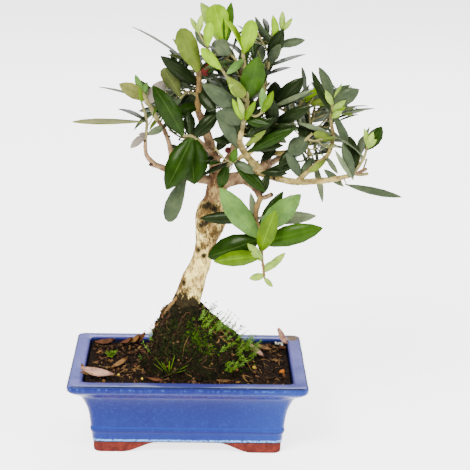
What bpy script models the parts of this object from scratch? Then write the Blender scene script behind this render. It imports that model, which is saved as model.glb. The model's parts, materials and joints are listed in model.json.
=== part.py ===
"""Olive bonsai in a rectangular glazed pot, as separate solids.

The tree is a pot with its soil, a mossy root mound, a leaning trunk, tapering boughs and masses of
foliage that grow by a seeded rule from the tips of the boughs. Run it with
blender --background --python part.py, or from Blender's text editor.

Sizes of the pot are in metres. Routes of limbs and shoots, and the tips of leaves, are in millimetres
from the middle of the pot on the ground: +X to the right, +Y to the back, +Z up.
"""

import math
import random
from dataclasses import dataclass

import bmesh
import bpy
from mathutils import Matrix, Vector
from mathutils.bvhtree import BVHTree

MM = 0.001

# Driving dimensions of the pot

RIM_LENGTH = 0.200
RIM_DEPTH = 0.140
FOOT_HEIGHT = 0.011
FOOT_INSET = 0.021
FOOT_WALL = 0.012
FOOT_SKIRT = 0.003
CORNER_RADIUS = 0.0036
SOIL_TOP = 0.060

# Space between two pieces that meet, and how much fatter than a limb the body is that cuts its neighbours
GAP = 0.0003
CUTTER_MARGIN = 0.0004

# The pot stands left of the middle of the whole plant, whose crown leans to the right
POT_PLACE = Vector((-0.0395, -0.0067, 0.0))

# Outer wall from the base up: how far it lies inside the rim's edge, and its height, in millimetres
OUTER_WALL = (
    (20.6, 11.0),
    (20.0, 12.2),
    (19.4, 18.4),
    (18.0, 19.4),
    (17.9, 22.2),
    (18.9, 23.2),
    (18.4, 27.5),
    (17.5, 34.2),
    (16.1, 40.5),
    (14.0, 46.2),
    (10.5, 53.2),
    (6.0, 56.5),
    (2.6, 58.4),
    (0.6, 60.2),
    (0.0, 62.4),
    (0.3, 65.2),
    (1.6, 66.5),
)

# Inner wall from the rim down to the floor of the pot
INNER_WALL = (
    (11.6, 66.5),
    (12.6, 65.6),
    (14.0, 60.0),
    (18.0, 52.0),
    (22.6, 42.0),
    (25.0, 31.0),
    (26.6, 19.0),
)

# Length of a foot's flat sole along the front and the side, and of the curve that fades into the base
SOLE_LENGTH_FRONT = 0.025
SOLE_LENGTH_SIDE = 0.014
FOOT_CURVE_FRONT = 0.023
FOOT_CURVE_SIDE = 0.015
FOOT_CURVE_STEPS = 5

# Root mound: height, middle in X, half width in X and half depth in Y of its rings, in millimetres
MOUND_RINGS = (
    (60.3, 8.0, 52.0, 44.0),
    (71.0, 8.0, 46.0, 38.0),
    (80.0, 8.0, 41.0, 33.0),
    (89.0, 4.5, 36.0, 29.0),
    (97.0, 0.0, 29.0, 25.0),
    (105.0, -2.0, 23.0, 21.0),
    (112.0, -2.5, 17.5, 17.5),
    (117.5, -3.0, 14.6, 14.8),
)
MOUND_SIDES = 20
MOUND_ROUGHNESS = 0.0012
MOUND_UNEVENNESS = 0.6
ROOT_LOBES = 5
ROOT_LOBE_DEPTH = 0.16
ROOT_FLARE_TOP = 0.112

# Leaves: shares are of a leaf's own length, unless they say otherwise
LEAF_THICKNESS = 0.0009
LEAF_WIDEST = 0.54
LEAF_FOLD = 0.25
LEAF_ROOT_DEPTH = 0.0013
KEY_LEAF_RINGS = 4
KEY_LEAF_BEND = (-0.02, 0.07)
RULE_LEAF_RINGS = 3
RULE_LEAF_BEND = (-0.02, 0.08)
RULE_LEAF_LENGTH = (0.8, 1.15)
RULE_LEAF_WIDTH = (0.27, 0.38)
RULE_LEAF_SPREAD = (38.0, 68.0)
LEAF_TURN = 0.3
BLADE_START = 0.25
CLEAR = 0.0005

# Twigs of the growth rule: lengths in millimetres, angles in degrees, shares of the shoot's length
TWIG_RADIUS = 0.0009
TWIG_TAPER = 0.8
TWIG_LENGTH = (13.0, 25.0)
TWIG_SPREAD = (45.0, 75.0)
TWIG_RISE = 0.25
TWIG_ATTEMPTS = 8
FIRST_TWIG = 0.15
TWIG_STRETCH = 0.8
OUTER_PAIR = 0.85
TIP_LEAF_LENGTH = 0.75
TIP_LEAF_WIDTH = 0.26
GOLDEN_ANGLE = math.pi * (3.0 - math.sqrt(5.0))
ROUTE_STEP = 11.0

FRONT = Vector((0.0, -1.0, 0.3))
BACK = Vector((0.0, 1.0, 0.3))
UP = Vector((0.0, -0.1, 1.0))
LEFT = Vector((-1.0, -0.4, 0.2))
RIGHT = Vector((1.0, -0.4, 0.2))

PART_NAME = "olive_bonsai"


@dataclass(frozen=True)
class Limb:
    """The trunk or a bough: a route of (x, y, z, radius) in millimetres, and the limb it springs from."""

    name: str
    route: tuple
    detail: int = 2


@dataclass(frozen=True)
class Shoot:
    """A twig: its route, its radius at both ends, and its key leaves (at, tip, width, facing)."""

    route: tuple
    radii: tuple
    leaves: tuple = ()


@dataclass(frozen=True)
class Mass:
    """A mass of foliage on a bough's tip, kept inside a box; the first shoot is its stem."""

    name: str
    carrier: str
    shoots: tuple
    space: tuple
    twigs: int
    pairs: int
    leaf_length: float
    seed: int


TRUNK = Limb(
    "trunk",
    (
        (-6, 0, 54, 25.0),
        (-6, 0, 66, 20.5),
        (-5, 0, 80, 16.8),
        (-4, 0, 98, 14.2),
        (-3, 0, 116, 12.4),
        (1, 0, 130, 10.8),
        (3, 0, 138, 10.4),
        (6, 0, 146, 9.3),
        (9, 0, 153, 8.7),
        (10.5, 0, 161, 8.0),
        (12, 0, 169, 8.1),
        (14, 0, 176, 9.2),
        (16, 0, 185, 11.9),
        (17, 0, 192, 13.2),
        (17, 0, 199, 12.6),
        (17.5, 0, 204, 10.9),
        (19.5, 0, 210, 8.6),
        (22, 0, 220, 8.7),
        (23, 0, 228, 8.6),
        (23.5, 0, 234, 7.2),
    ),
    4,
)

BOUGHS = (
    Limb("left_leader", ((22, 1, 228, 5.6), (19, 4, 245, 4.8), (13, 8, 265, 3.8), (5, 6, 286, 2.7))),
    Limb("right_bough", ((24, 0, 226, 6.2), (45, -5, 232, 5.2), (58, -9, 239, 4.4), (64, -9, 244, 3.6))),
    Limb(
        "right_arm",
        (
            (56, -9, 238, 3.2),
            (71, -16, 234, 2.9),
            (88, -22, 232, 2.6),
            (114, -26, 235, 2.5),
            (132, -26, 239, 1.7),
        ),
    ),
    Limb("drooping_bough", ((42, -5, 231, 3.2), (53, -18, 226, 2.9), (58, -27, 219, 2.3))),
    Limb(
        "central_bough",
        ((57, -9, 239, 3.3), (46, -18, 253, 2.9), (40, -24, 266, 2.5), (42, -24, 279, 2.1)),
    ),
    Limb("right_riser", ((60, -8, 240, 3.4), (66, 0, 251, 3.0), (75, 8, 263, 2.5), (85, 14, 278, 1.9))),
    Limb(
        "right_twig",
        (
            (89, -22, 233, 1.9),
            (106, -18, 248, 1.8),
            (114, -14, 254, 1.7),
            (118, -10, 267, 1.6),
            (116, -8, 281, 1.3),
        ),
    ),
    Limb("right_spur", ((67, 1, 251, 2.1), (80, -12, 255, 1.8), (88, -18, 261, 1.4))),
    Limb("middle_spur", ((45, -19, 254, 1.9), (51, -18, 258, 1.7), (55, -15, 264, 1.4))),
    Limb("fork_spur", ((45, -19, 254, 1.9), (41, -25, 253, 1.6), (38, -28, 251, 1.4))),
    Limb("left_arm", ((20, 0, 227, 3.8), (-1, -8, 231, 3.2), (-17, -13, 238, 2.8), (-33, -14, 244, 2.3))),
    Limb("left_outer_twig", ((-30, -14, 243, 1.9), (-37, -17, 252, 1.7), (-38, -18, 264, 1.4))),
    Limb(
        "left_inner_twig",
        ((-18, -12, 239, 2.2), (-17, -9, 253, 2.0), (-22, -4, 269, 1.8), (-29, -2, 279, 1.6)),
    ),
    Limb("left_front_twig", ((18, 4, 249, 2.1), (11, -10, 259, 1.9), (6, -18, 265, 1.6))),
    Limb("back_bough", ((24, 3, 229, 4.6), (34, 24, 244, 3.6), (42, 40, 260, 2.6))),
    Limb("back_left_bough", ((18, 5, 246, 3.1), (5, 26, 256, 2.5), (-8, 40, 268, 1.9))),
    Limb("back_right_bough", ((62, -7, 241, 3.0), (74, 20, 242, 2.5), (90, 40, 248, 1.9))),
    Limb("top_back_bough", ((35, 26, 246, 2.9), (42, 24, 268, 2.5), (54, 14, 289, 2.1), (60, 6, 304, 1.8))),
)

MASSES = (
    Mass(
        "foliage_top_left",
        "left_leader",
        (
            Shoot(
                ((5, 6, 287), (6, 3, 302), (6, 1, 315), (10, 0, 324)),
                (2.0, 1.3),
                (
                    (0.80, (-10, -5, 356), 16, FRONT),
                    (0.55, (-26, -13, 334), 11, FRONT),
                    (0.45, (20, -11, 286), 10, FRONT),
                    (0.45, (-12, 14, 276), 12, FRONT),
                    (0.10, (-14, -4, 284), 9, FRONT),
                    (0.70, (24, -8, 334), 10, FRONT),
                ),
            ),
            Shoot(
                ((6, 3, 298), (-3, 2, 302), (-10, -1, 297)),
                (1.1, 0.8),
                ((0.95, (-24, -6, 323), 13, BACK),),
            ),
            Shoot(
                ((6, 1, 315), (1, 1, 322), (-3, 0, 327)),
                (1.0, 0.8),
                ((1.0, (-50, 6, 355), 9, UP),),
            ),
        ),
        ((-34, -10, 264), (30, 50, 346)),
        9,
        2,
        31,
        11,
    ),
    Mass(
        "foliage_top_centre",
        "central_bough",
        (
            Shoot(
                ((42, -24, 280), (45, -22, 295), (45, -22, 309), (43, -20, 325), (41, -18, 339)),
                (1.9, 1.1),
                (
                    (0.97, (48, -28, 367), 13, FRONT),
                    (0.97, (25, -28, 368), 8, RIGHT),
                    (0.90, (28, -30, 323), 6, FRONT),
                    (0.38, (53, -34, 338), 18, FRONT),
                    (0.15, (8, -36, 316), 13, FRONT),
                    (0.05, (21, -34, 293), 12, FRONT),
                    (0.05, (31, -26, 300), 10, FRONT),
                    (0.10, (64, -30, 282), 8, FRONT),
                ),
            ),
            Shoot(
                ((43, -19, 326), (32, -15, 336), (26, -14, 346)),
                (1.0, 0.8),
                (
                    (1.00, (17, -12, 377), 17, FRONT),
                    (0.80, (6, -2, 377), 12, FRONT),
                    (0.95, (31, -12, 379), 8, FRONT),
                    (0.60, (19, -20, 347), 12, FRONT),
                ),
            ),
            Shoot(
                ((44, -22, 298), (36, -27, 309), (27, -28, 322), (12, -29, 344), (5, -29, 356)),
                (1.1, 0.7),
                (
                    (0.08, (30, -34, 315), 7, FRONT),
                    (0.42, (43, -36, 306), 9, FRONT),
                    (0.50, (7, -33, 344), 10, FRONT),
                    (0.80, (14, -34, 365), 8, FRONT),
                    (0.80, (2, -21, 357), 6, FRONT),
                    (1.00, (-2, -29, 368), 4, FRONT),
                    (1.00, (7, -34, 371), 5, FRONT),
                ),
            ),
            Shoot(
                ((44, -22, 291), (52, -27, 288), (58, -29, 292)),
                (1.0, 0.8),
                (
                    (1.0, (57, -34, 313), 9, FRONT),
                    (1.0, (66, -32, 310), 7, FRONT),
                ),
            ),
        ),
        ((4, -24, 268), (66, 14, 356)),
        8,
        3,
        28,
        23,
    ),
    Mass(
        "foliage_top_right",
        "top_back_bough",
        (
            Shoot(
                ((60, 6, 305), (61, -2, 320), (66, -7, 338), (74, -8, 356)),
                (1.7, 0.8),
                (
                    (0.50, (74, -12, 358), 11, FRONT),
                    (0.45, (71, -24, 347), 8, FRONT),
                    (0.75, (93, 2, 348), 9, UP),
                    (0.75, (51, -2, 366), 8, LEFT),
                    (0.80, (65, -12, 369), 6, FRONT),
                    (0.98, (73, -9, 372), 5, FRONT),
                    (1.00, (81, -13, 367), 4, FRONT),
                    (0.40, (94, 4, 335), 9, UP),
                    (0.25, (82, 2, 324), 9, UP),
                ),
            ),
        ),
        ((32, -10, 286), (98, 46, 360)),
        6,
        3,
        31,
        37,
    ),
    Mass(
        "foliage_right_upper",
        "right_riser",
        (
            Shoot(
                ((85, 14, 279), (90, 16, 286), (95, 16, 294)),
                (1.6, 1.0),
                (
                    (0.90, (115, 4, 296), 9, FRONT),
                    (0.80, (110, -2, 313), 9, FRONT),
                    (1.00, (92, 18, 322), 9, RIGHT),
                ),
            ),
            Shoot(
                ((86, 14, 280), (76, 9, 287), (67, 3, 290)),
                (1.1, 0.8),
                (
                    (0.95, (92, -6, 317), 14, FRONT),
                    (0.90, (70, 20, 309), 12, FRONT),
                    (1.00, (99, -16, 309), 4, FRONT),
                ),
            ),
        ),
        ((64, -10, 258), (124, 52, 328)),
        9,
        3,
        29,
        41,
    ),
    Mass(
        "foliage_right_top",
        "right_twig",
        (
            Shoot(
                ((116, -8, 282), (116, -8, 290), (118, -8, 299)),
                (1.3, 0.8),
                (
                    (0.90, (104, 0, 326), 13, FRONT),
                    (0.70, (138, -12, 309), 12, FRONT),
                    (0.25, (152, -6, 294), 9, UP),
                    (1.00, (124, -8, 313), 3, FRONT),
                    (0.50, (136, -17, 245), 7, FRONT),
                    (0.40, (97, -22, 260), 9, FRONT),
                    (0.45, (127, -14, 300), 5, FRONT),
                    (0.75, (110, -14, 308), 5, FRONT),
                ),
            ),
        ),
        ((98, -10, 262), (152, 32, 320)),
        5,
        2,
        27,
        53,
    ),
    Mass(
        "foliage_right_tip",
        "right_arm",
        (
            Shoot(
                ((133, -26, 239), (138, -26, 246), (143, -26, 255), (145, -26, 264)),
                (1.5, 0.8),
                (
                    (0.90, (157, -22, 280), 11, FRONT),
                    (0.98, (149, -31, 277), 5, FRONT),
                    (1.00, (142, -26, 279), 4, FRONT),
                    (0.95, (152, -31, 271), 4, FRONT),
                    (0.60, (123, -33, 270), 8, UP),
                    (0.10, (131, -20, 271), 13, FRONT),
                    (0.10, (179, -33, 224), 9, UP),
                ),
            ),
            Shoot(((134, -26, 240), (141, -26, 240), (147, -26, 241)), (1.3, 1.1)),
        ),
        ((114, -28, 222), (170, 22, 284)),
        4,
        2,
        27,
        67,
    ),
    Mass(
        "foliage_right_middle",
        "right_spur",
        (
            Shoot(
                ((88, -18, 262), (94, -20, 267), (100, -20, 273)),
                (1.3, 0.9),
                (
                    (0.60, (80, -27, 257), 14, FRONT),
                    (0.20, (72, -26, 246), 9, FRONT),
                    (0.50, (96, -4, 279), 13, FRONT),
                ),
            ),
            Shoot(
                ((92, -19, 265), (97, -14, 259), (101, -13, 252)),
                (1.0, 0.8),
                ((1.0, (111, -12, 212), 7, FRONT),),
            ),
        ),
        ((70, -34, 240), (128, 38, 286)),
        8,
        3,
        28,
        71,
    ),
    Mass(
        "foliage_middle",
        "middle_spur",
        (
            Shoot(
                ((55, -15, 265), (62, -13, 272), (70, -11, 281)),
                (1.3, 0.9),
                (
                    (0.10, (86, -27, 281), 12, FRONT),
                    (0.95, (46, -29, 272), 11, FRONT),
                    (0.60, (78, -26, 266), 6, FRONT),
                    (0.80, (65, -24, 303), 11, FRONT),
                    (0.30, (30, -14, 276), 10, FRONT),
                    (0.95, (98, -22, 296), 10, FRONT),
                ),
            ),
        ),
        ((24, -30, 248), (90, 26, 302)),
        8,
        3,
        28,
        83,
    ),
    Mass(
        "foliage_pendant",
        "drooping_bough",
        (
            Shoot(
                (
                    (58, -27, 218),
                    (55, -28, 210),
                    (55, -28, 201),
                    (57, -29, 192),
                    (60, -31, 172),
                    (63, -32, 151),
                ),
                (1.7, 0.8),
                (
                    (0.50, (24, -38, 230), 17, FRONT),
                    (0.52, (15, -36, 168), 15, FRONT),
                    (0.75, (20, -44, 171), 11, FRONT),
                    (0.78, (48, -36, 182), 7, FRONT),
                    (0.66, (70, -47, 214), 14, FRONT),
                    (0.57, (110, -38, 197), 16, FRONT),
                    (0.42, (91, -36, 225), 17, FRONT),
                    (0.38, (77, -23, 224), 9, FRONT),
                    (0.25, (106, -13, 199), 9, FRONT),
                    (0.38, (50, -21, 222), 6, FRONT),
                    (0.22, (10, -23, 199), 9, FRONT),
                    (0.96, (50, -34, 151), 6, FRONT),
                    (0.90, (72, -36, 167), 6, FRONT),
                    (0.92, (80, -30, 173), 6, FRONT),
                    (1.00, (70, -34, 144), 4, FRONT),
                ),
            ),
        ),
        ((40, -30, 176), (84, 6, 214)),
        0,
        1,
        26,
        97,
    ),
    Mass(
        "foliage_left_front",
        "left_front_twig",
        (
            Shoot(
                ((6, -18, 266), (0, -19, 269), (-7, -19, 269)),
                (1.4, 0.9),
                (
                    (0.45, (-20, -32, 226), 19, FRONT),
                    (0.40, (1, -27, 229), 20, FRONT),
                    (1.00, (-32, -26, 312), 15, FRONT),
                    (0.30, (22, -16, 288), 11, FRONT),
                    (0.60, (-3, -8, 288), 9, FRONT),
                ),
            ),
            Shoot(
                ((4, -18, 267), (2, -14, 254), (-3, -16, 236)),
                (1.0, 0.8),
                ((1.0, (-17, -24, 198), 12, LEFT),),
            ),
        ),
        ((-26, -18, 248), (30, 6, 294)),
        3,
        2,
        24,
        101,
    ),
    Mass(
        "foliage_fork",
        "fork_spur",
        (
            Shoot(
                ((37, -28, 251), (33, -31, 250), (29, -32, 247)),
                (1.2, 0.9),
                (
                    (0.60, (10, -37, 240), 9, UP),
                    (0.20, (52, -37, 242), 7, FRONT),
                    (0.50, (37, -36, 263), 6, FRONT),
                    (0.90, (24, -33, 228), 9, FRONT),
                    (0.30, (62, -35, 226), 9, FRONT),
                ),
            ),
        ),
        ((8, -40, 224), (66, -24, 266)),
        1,
        1,
        22,
        107,
    ),
    Mass(
        "foliage_left_inner",
        "left_inner_twig",
        (
            Shoot(
                ((-29, -2, 280), (-33, -2, 287), (-37, -3, 294), (-41, -4, 302)),
                (1.6, 1.3),
                (
                    (0.75, (-60, -11, 310), 11, FRONT),
                    (0.70, (-78, 8, 304), 9, UP),
                    (1.00, (-47, -5, 316), 4, FRONT),
                    (0.95, (-37, -6, 311), 4, FRONT),
                    (0.60, (-21, 8, 311), 12, FRONT),
                ),
            ),
        ),
        ((-66, -4, 268), (-12, 42, 322)),
        4,
        2,
        25,
        109,
    ),
    Mass(
        "foliage_left_outer",
        "left_outer_twig",
        (
            Shoot(
                ((-38, -18, 265), (-37, -16, 280), (-41, -16, 295)),
                (1.3, 0.8),
                (
                    (0.52, (-98, -22, 283), 9, UP),
                    (0.50, (-61, -10, 289), 8, UP),
                    (1.00, (-43, -18, 309), 3, FRONT),
                    (0.15, (-50, -24, 264), 6, FRONT),
                    (0.15, (-43, -25, 275), 4, FRONT),
                    (0.15, (-24, -10, 274), 6, FRONT),
                ),
            ),
        ),
        ((-70, -34, 256), (-24, 16, 300)),
        1,
        0,
        24,
        113,
    ),
    Mass(
        "foliage_back",
        "back_bough",
        (Shoot(((42, 40, 261), (44, 46, 276), (44, 48, 296), (40, 46, 314)), (2.2, 1.0)),),
        ((6, 18, 246), (84, 84, 350)),
        9,
        4,
        36,
        127,
    ),
    Mass(
        "foliage_back_left",
        "back_left_bough",
        (Shoot(((-8, 40, 269), (-16, 46, 280), (-22, 46, 296), (-24, 42, 310)), (1.7, 0.9)),),
        ((-66, 10, 244), (6, 80, 340)),
        9,
        4,
        34,
        131,
    ),
    Mass(
        "foliage_back_right",
        "back_right_bough",
        (Shoot(((90, 40, 249), (98, 44, 258), (104, 44, 272), (106, 40, 288)), (1.7, 0.9)),),
        ((72, 8, 224), (154, 78, 322)),
        9,
        4,
        34,
        139,
    ),
)


def new_collection(name):
    """Make a collection in the scene."""
    collection = bpy.data.collections.new(name)
    bpy.context.scene.collection.children.link(collection)
    return collection


def new_material(name, colour, roughness, metallic=0.0):
    """Make a Principled material."""
    material = bpy.data.materials.new(name)
    material.use_nodes = True
    shader = material.node_tree.nodes["Principled BSDF"]
    shader.inputs["Base Color"].default_value = (*colour, 1.0)
    shader.inputs["Roughness"].default_value = roughness
    shader.inputs["Metallic"].default_value = metallic
    return material


def object_from(bm, name, collection):
    """Turn a bmesh into an object in a collection."""
    bmesh.ops.recalc_face_normals(bm, faces=bm.faces)
    mesh = bpy.data.meshes.new(name)
    bm.to_mesh(mesh)
    bm.free()
    piece = bpy.data.objects.new(name, mesh)
    collection.objects.link(piece)
    return piece


def evaluated_mesh(piece):
    """The piece's mesh with its modifiers applied."""
    graph = bpy.context.evaluated_depsgraph_get()
    graph.update()
    return bpy.data.meshes.new_from_object(piece.evaluated_get(graph))


def apply_modifiers(piece):
    """Bake the piece's modifiers into its mesh."""
    mesh = evaluated_mesh(piece)
    piece.modifiers.clear()
    old_mesh = piece.data
    piece.data = mesh
    bpy.data.meshes.remove(old_mesh)


def boolean(piece, operation, other):
    """Join the piece with another object, or with every object of a collection, or cut it by one."""
    modifier = piece.modifiers.new(operation.lower(), "BOOLEAN")
    modifier.operation = operation
    modifier.solver = "EXACT"
    if isinstance(other, bpy.types.Collection):
        modifier.operand_type = "COLLECTION"
        modifier.collection = other
    else:
        modifier.object = other
    apply_modifiers(piece)


def keep_largest(piece):
    """Drop the loose scraps that a Boolean leaves, and keep the largest body."""
    bm = bmesh.new()
    bm.from_mesh(piece.data)
    bodies = []
    unseen = set(bm.verts)
    while unseen:
        body = set()
        edge_of_body = [unseen.pop()]
        while edge_of_body:
            vert = edge_of_body.pop()
            body.add(vert)
            for edge in vert.link_edges:
                neighbour = edge.other_vert(vert)
                if neighbour in unseen:
                    unseen.remove(neighbour)
                    edge_of_body.append(neighbour)
        bodies.append(body)
    bodies.sort(key=len)
    scraps = [vert for body in bodies[:-1] for vert in body]
    bmesh.ops.delete(bm, geom=scraps, context="VERTS")
    bm.to_mesh(piece.data)
    bm.free()


def extrude_face(bm, face):
    """Extrude one face, with its sides, and give back the new face."""
    extruded = bmesh.ops.extrude_face_region(bm, geom=[face, *face.edges, *face.verts])
    return next(item for item in extruded["geom"] if isinstance(item, bmesh.types.BMFace))


def set_as_cutter(piece):
    """Hide a cutter from renders and show it as wires."""
    piece.hide_render = True
    piece.display_type = "WIRE"


# Pot and soil


def rectangle_loft(stations, extra=0.0):
    """Raise a rounded rectangle through (inset, height) stations into one closed body."""
    bm = bmesh.new()
    bmesh.ops.create_grid(bm, x_segments=1, y_segments=1, size=1.0)
    first_inset, first_height = stations[0]
    size = half_size(first_inset, extra)
    bmesh.ops.scale(bm, vec=(size.x, size.y, 1.0), verts=bm.verts)
    bmesh.ops.translate(bm, vec=(0.0, 0.0, first_height * MM), verts=bm.verts)
    corners = list(bm.verts)
    bmesh.ops.bevel(
        bm, geom=corners, affect="VERTICES", offset=CORNER_RADIUS, segments=3, profile=0.5, material=-1
    )
    face = bm.faces[:][0]
    for inset, height in stations[1:]:
        face = extrude_face(bm, face)
        new_size = half_size(inset, extra)
        step = Vector((new_size.x / size.x, new_size.y / size.y, 1.0))
        bmesh.ops.scale(bm, vec=step, verts=face.verts)
        middle = face.calc_center_median()
        bmesh.ops.translate(bm, vec=(0.0, 0.0, height * MM - middle.z), verts=face.verts)
        size = new_size
    return bm


def half_size(inset, extra):
    """Half length and half depth of the pot at an inset from the rim's edge."""
    return Vector((RIM_LENGTH / 2 - inset * MM - extra, RIM_DEPTH / 2 - inset * MM - extra))


def foot_opening(name, half_length, sole, curve_length, width, collection):
    """A cutter for the opening between two feet: flat at the floor, with a curve at each end."""
    floor_half = half_length - sole
    below = 0.002
    top = FOOT_HEIGHT + 0.001
    rise = []
    for number in range(FOOT_CURVE_STEPS + 1):
        share = number / FOOT_CURVE_STEPS
        height = top * 0.5 * (1.0 - math.cos(math.pi * share))
        rise.append((floor_half - curve_length * share, height))
    outline = [(floor_half, -below)] + rise
    outline += [(-across, height) for across, height in reversed(outline)]
    curve = bpy.data.curves.new(name, "CURVE")
    curve.dimensions = "2D"
    curve.fill_mode = "BOTH"
    curve.extrude = width / 2
    spline = curve.splines.new("POLY")
    spline.points.add(len(outline) - 1)
    spline.use_cyclic_u = True
    for point, (across, height) in zip(spline.points, outline):
        point.co = (across, height, 0.0, 1.0)
    guide = bpy.data.objects.new(name + "_outline", curve)
    collection.objects.link(guide)
    guide.rotation_euler = (math.pi / 2, 0.0, 0.0)
    return guide


def mesh_from_curve(curve_piece, name, collection):
    """Turn a curve object into a mesh object with its caps welded on, and remove the curve."""
    bpy.context.view_layer.update()
    mesh = evaluated_mesh(curve_piece)
    bm = bmesh.new()
    bm.from_mesh(mesh)
    bmesh.ops.remove_doubles(bm, verts=bm.verts, dist=0.000001)
    bmesh.ops.recalc_face_normals(bm, faces=bm.faces)
    bm.to_mesh(mesh)
    bm.free()
    piece = bpy.data.objects.new(name, mesh)
    piece.matrix_world = curve_piece.matrix_world
    collection.objects.link(piece)
    bpy.data.objects.remove(curve_piece)
    return piece


def make_pot(parts, cutters):
    """The glazed pot with its rim, moulding and four bracket feet, as one body of clay."""
    pot = object_from(rectangle_loft(OUTER_WALL + INNER_WALL), "pot", parts)
    inner_inset = (FOOT_INSET + FOOT_WALL) / MM
    outer_inset = FOOT_INSET / MM
    top = (FOOT_HEIGHT + FOOT_SKIRT) / MM
    feet = object_from(rectangle_loft(((outer_inset, 0.0), (outer_inset, top))), "feet", cutters)
    hollow_stations = ((inner_inset, -1.0), (inner_inset, top + 1.0))
    hollow = object_from(rectangle_loft(hollow_stations), "foot_hollow", cutters)
    boolean(feet, "DIFFERENCE", hollow)
    front = foot_opening(
        "front_opening",
        RIM_LENGTH / 2 - FOOT_INSET,
        SOLE_LENGTH_FRONT,
        FOOT_CURVE_FRONT,
        RIM_DEPTH,
        cutters,
    )
    front = mesh_from_curve(front, "front_opening", cutters)
    side = foot_opening(
        "side_opening", RIM_DEPTH / 2 - FOOT_INSET, SOLE_LENGTH_SIDE, FOOT_CURVE_SIDE, RIM_LENGTH, cutters
    )
    side.rotation_euler = (math.pi / 2, 0.0, math.pi / 2)
    side = mesh_from_curve(side, "side_opening", cutters)
    boolean(feet, "DIFFERENCE", front)
    boolean(feet, "DIFFERENCE", side)
    boolean(pot, "UNION", feet)
    for cutter in (feet, hollow, front, side):
        set_as_cutter(cutter)
    return pot


def make_soil(parts):
    """The soil that fills the pot's hollow, a gap clear of its walls and floor."""
    below_rim = [(inset, height) for inset, height in INNER_WALL if height <= SOIL_TOP / MM]
    stations = list(reversed(below_rim))
    floor_inset, floor_height = stations[0]
    stations[0] = (floor_inset, floor_height + GAP / MM)
    return object_from(rectangle_loft(stations, extra=GAP), "soil", parts)


# Limbs


def smooth_route(points, step):
    """Read a smooth curve through the points, about one step apart; extra values are blended too."""
    rows = [Vector(point) for point in points]
    rows = [rows[0] * 2 - rows[1]] + rows + [rows[-1] * 2 - rows[-2]]
    smooth = []
    for before, start, end, after in zip(rows, rows[1:], rows[2:], rows[3:]):
        pieces = max(1, round((end.xyz - start.xyz).length / step))
        for number in range(pieces):
            t = number / pieces
            smooth.append(
                0.5
                * (
                    start * 2
                    + (end - before) * t
                    + (before * 2 - start * 5 + end * 4 - after) * t * t
                    + (start * 3 - before - end * 3 + after) * t * t * t
                )
            )
    smooth.append(rows[-2])
    return smooth


def limb_stations(limb):
    """Places and radii along a limb, in metres."""
    rows = smooth_route(limb.route, ROUTE_STEP)
    return [(row.xyz * MM, row.w * MM) for row in rows]


def limb_body(limb, name, collection, extra=0.0):
    """A limb as a tapering tube; extra makes it fatter and longer, for cutting its neighbours."""
    stations = limb_stations(limb)
    curve = bpy.data.curves.new(name, "CURVE")
    curve.dimensions = "3D"
    curve.bevel_depth = 1.0
    curve.bevel_resolution = limb.detail
    curve.use_fill_caps = True
    spline = curve.splines.new("POLY")
    spline.points.add(len(stations) - 1)
    for point, (place, radius) in zip(spline.points, stations):
        point.co = (*place, 1.0)
        point.radius = radius + extra
    last_step = (stations[-1][0] - stations[-2][0]).normalized() * extra
    spline.points[-1].co = (*(stations[-1][0] + last_step), 1.0)
    guide = bpy.data.objects.new(name + "_route", curve)
    collection.objects.link(guide)
    body = mesh_from_curve(guide, name, collection)
    split_quads(body)
    return body


def split_quads(piece):
    """Split every four-sided face along the same diagonal, so a limb and its cutter stay parallel."""
    bm = bmesh.new()
    bm.from_mesh(piece.data)
    sides = [face for face in bm.faces if len(face.verts) == 4]
    bmesh.ops.triangulate(bm, faces=sides, quad_method="FIXED")
    bm.to_mesh(piece.data)
    bm.free()


def spread_roots(piece):
    """Push the foot of the trunk out into root lobes that fade out upwards."""
    foot = Vector(TRUNK.route[1][:3]) * MM
    for vert in piece.data.vertices:
        fade = max(0.0, (ROOT_FLARE_TOP - vert.co.z) / (ROOT_FLARE_TOP - SOIL_TOP))
        from_axis = Vector((vert.co.x - foot.x, vert.co.y - foot.y))
        angle = math.atan2(from_axis.y, from_axis.x)
        swell = 1.0 + ROOT_LOBE_DEPTH * min(1.0, fade) * math.cos(ROOT_LOBES * angle)
        vert.co.x = foot.x + from_axis.x * swell
        vert.co.y = foot.y + from_axis.y * swell


def cut_flat(piece, height):
    """Cut a body level at a height and close the cut."""
    bm = bmesh.new()
    bm.from_mesh(piece.data)
    geom = bm.verts[:] + bm.edges[:] + bm.faces[:]
    cut = bmesh.ops.bisect_plane(
        bm, geom=geom, plane_co=(0.0, 0.0, height), plane_no=(0.0, 0.0, 1.0), clear_inner=True
    )
    edges = [item for item in cut["geom_cut"] if isinstance(item, bmesh.types.BMEdge)]
    bmesh.ops.contextual_create(bm, geom=edges)
    bmesh.ops.recalc_face_normals(bm, faces=bm.faces)
    bm.to_mesh(piece.data)
    bm.free()


def make_trunk(parts, cutters):
    """The trunk, cut flat just above the soil, and the fatter body that cuts its neighbours."""
    trunk = limb_body(TRUNK, TRUNK.name, parts)
    spread_roots(trunk)
    cut_flat(trunk, SOIL_TOP + GAP)
    cutter = limb_body(TRUNK, "trunk_cutter", cutters, extra=CUTTER_MARGIN)
    spread_roots(cutter)
    return trunk, cutter


def make_boughs(parts, cutters, trunk_cutter):
    """Every bough, cut a gap clear of the trunk and of each bough made before it."""
    boughs = {}
    neighbours = [trunk_cutter]
    for limb in BOUGHS:
        bough = limb_body(limb, limb.name, parts)
        for cutter in neighbours:
            if meshes_touch(bough, cutter):
                boolean(bough, "DIFFERENCE", cutter)
                keep_largest(bough)
        boughs[limb.name] = bough
        neighbours.append(limb_body(limb, limb.name + "_cutter", cutters, extra=CUTTER_MARGIN))
    for cutter in neighbours:
        set_as_cutter(cutter)
    return boughs


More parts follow.
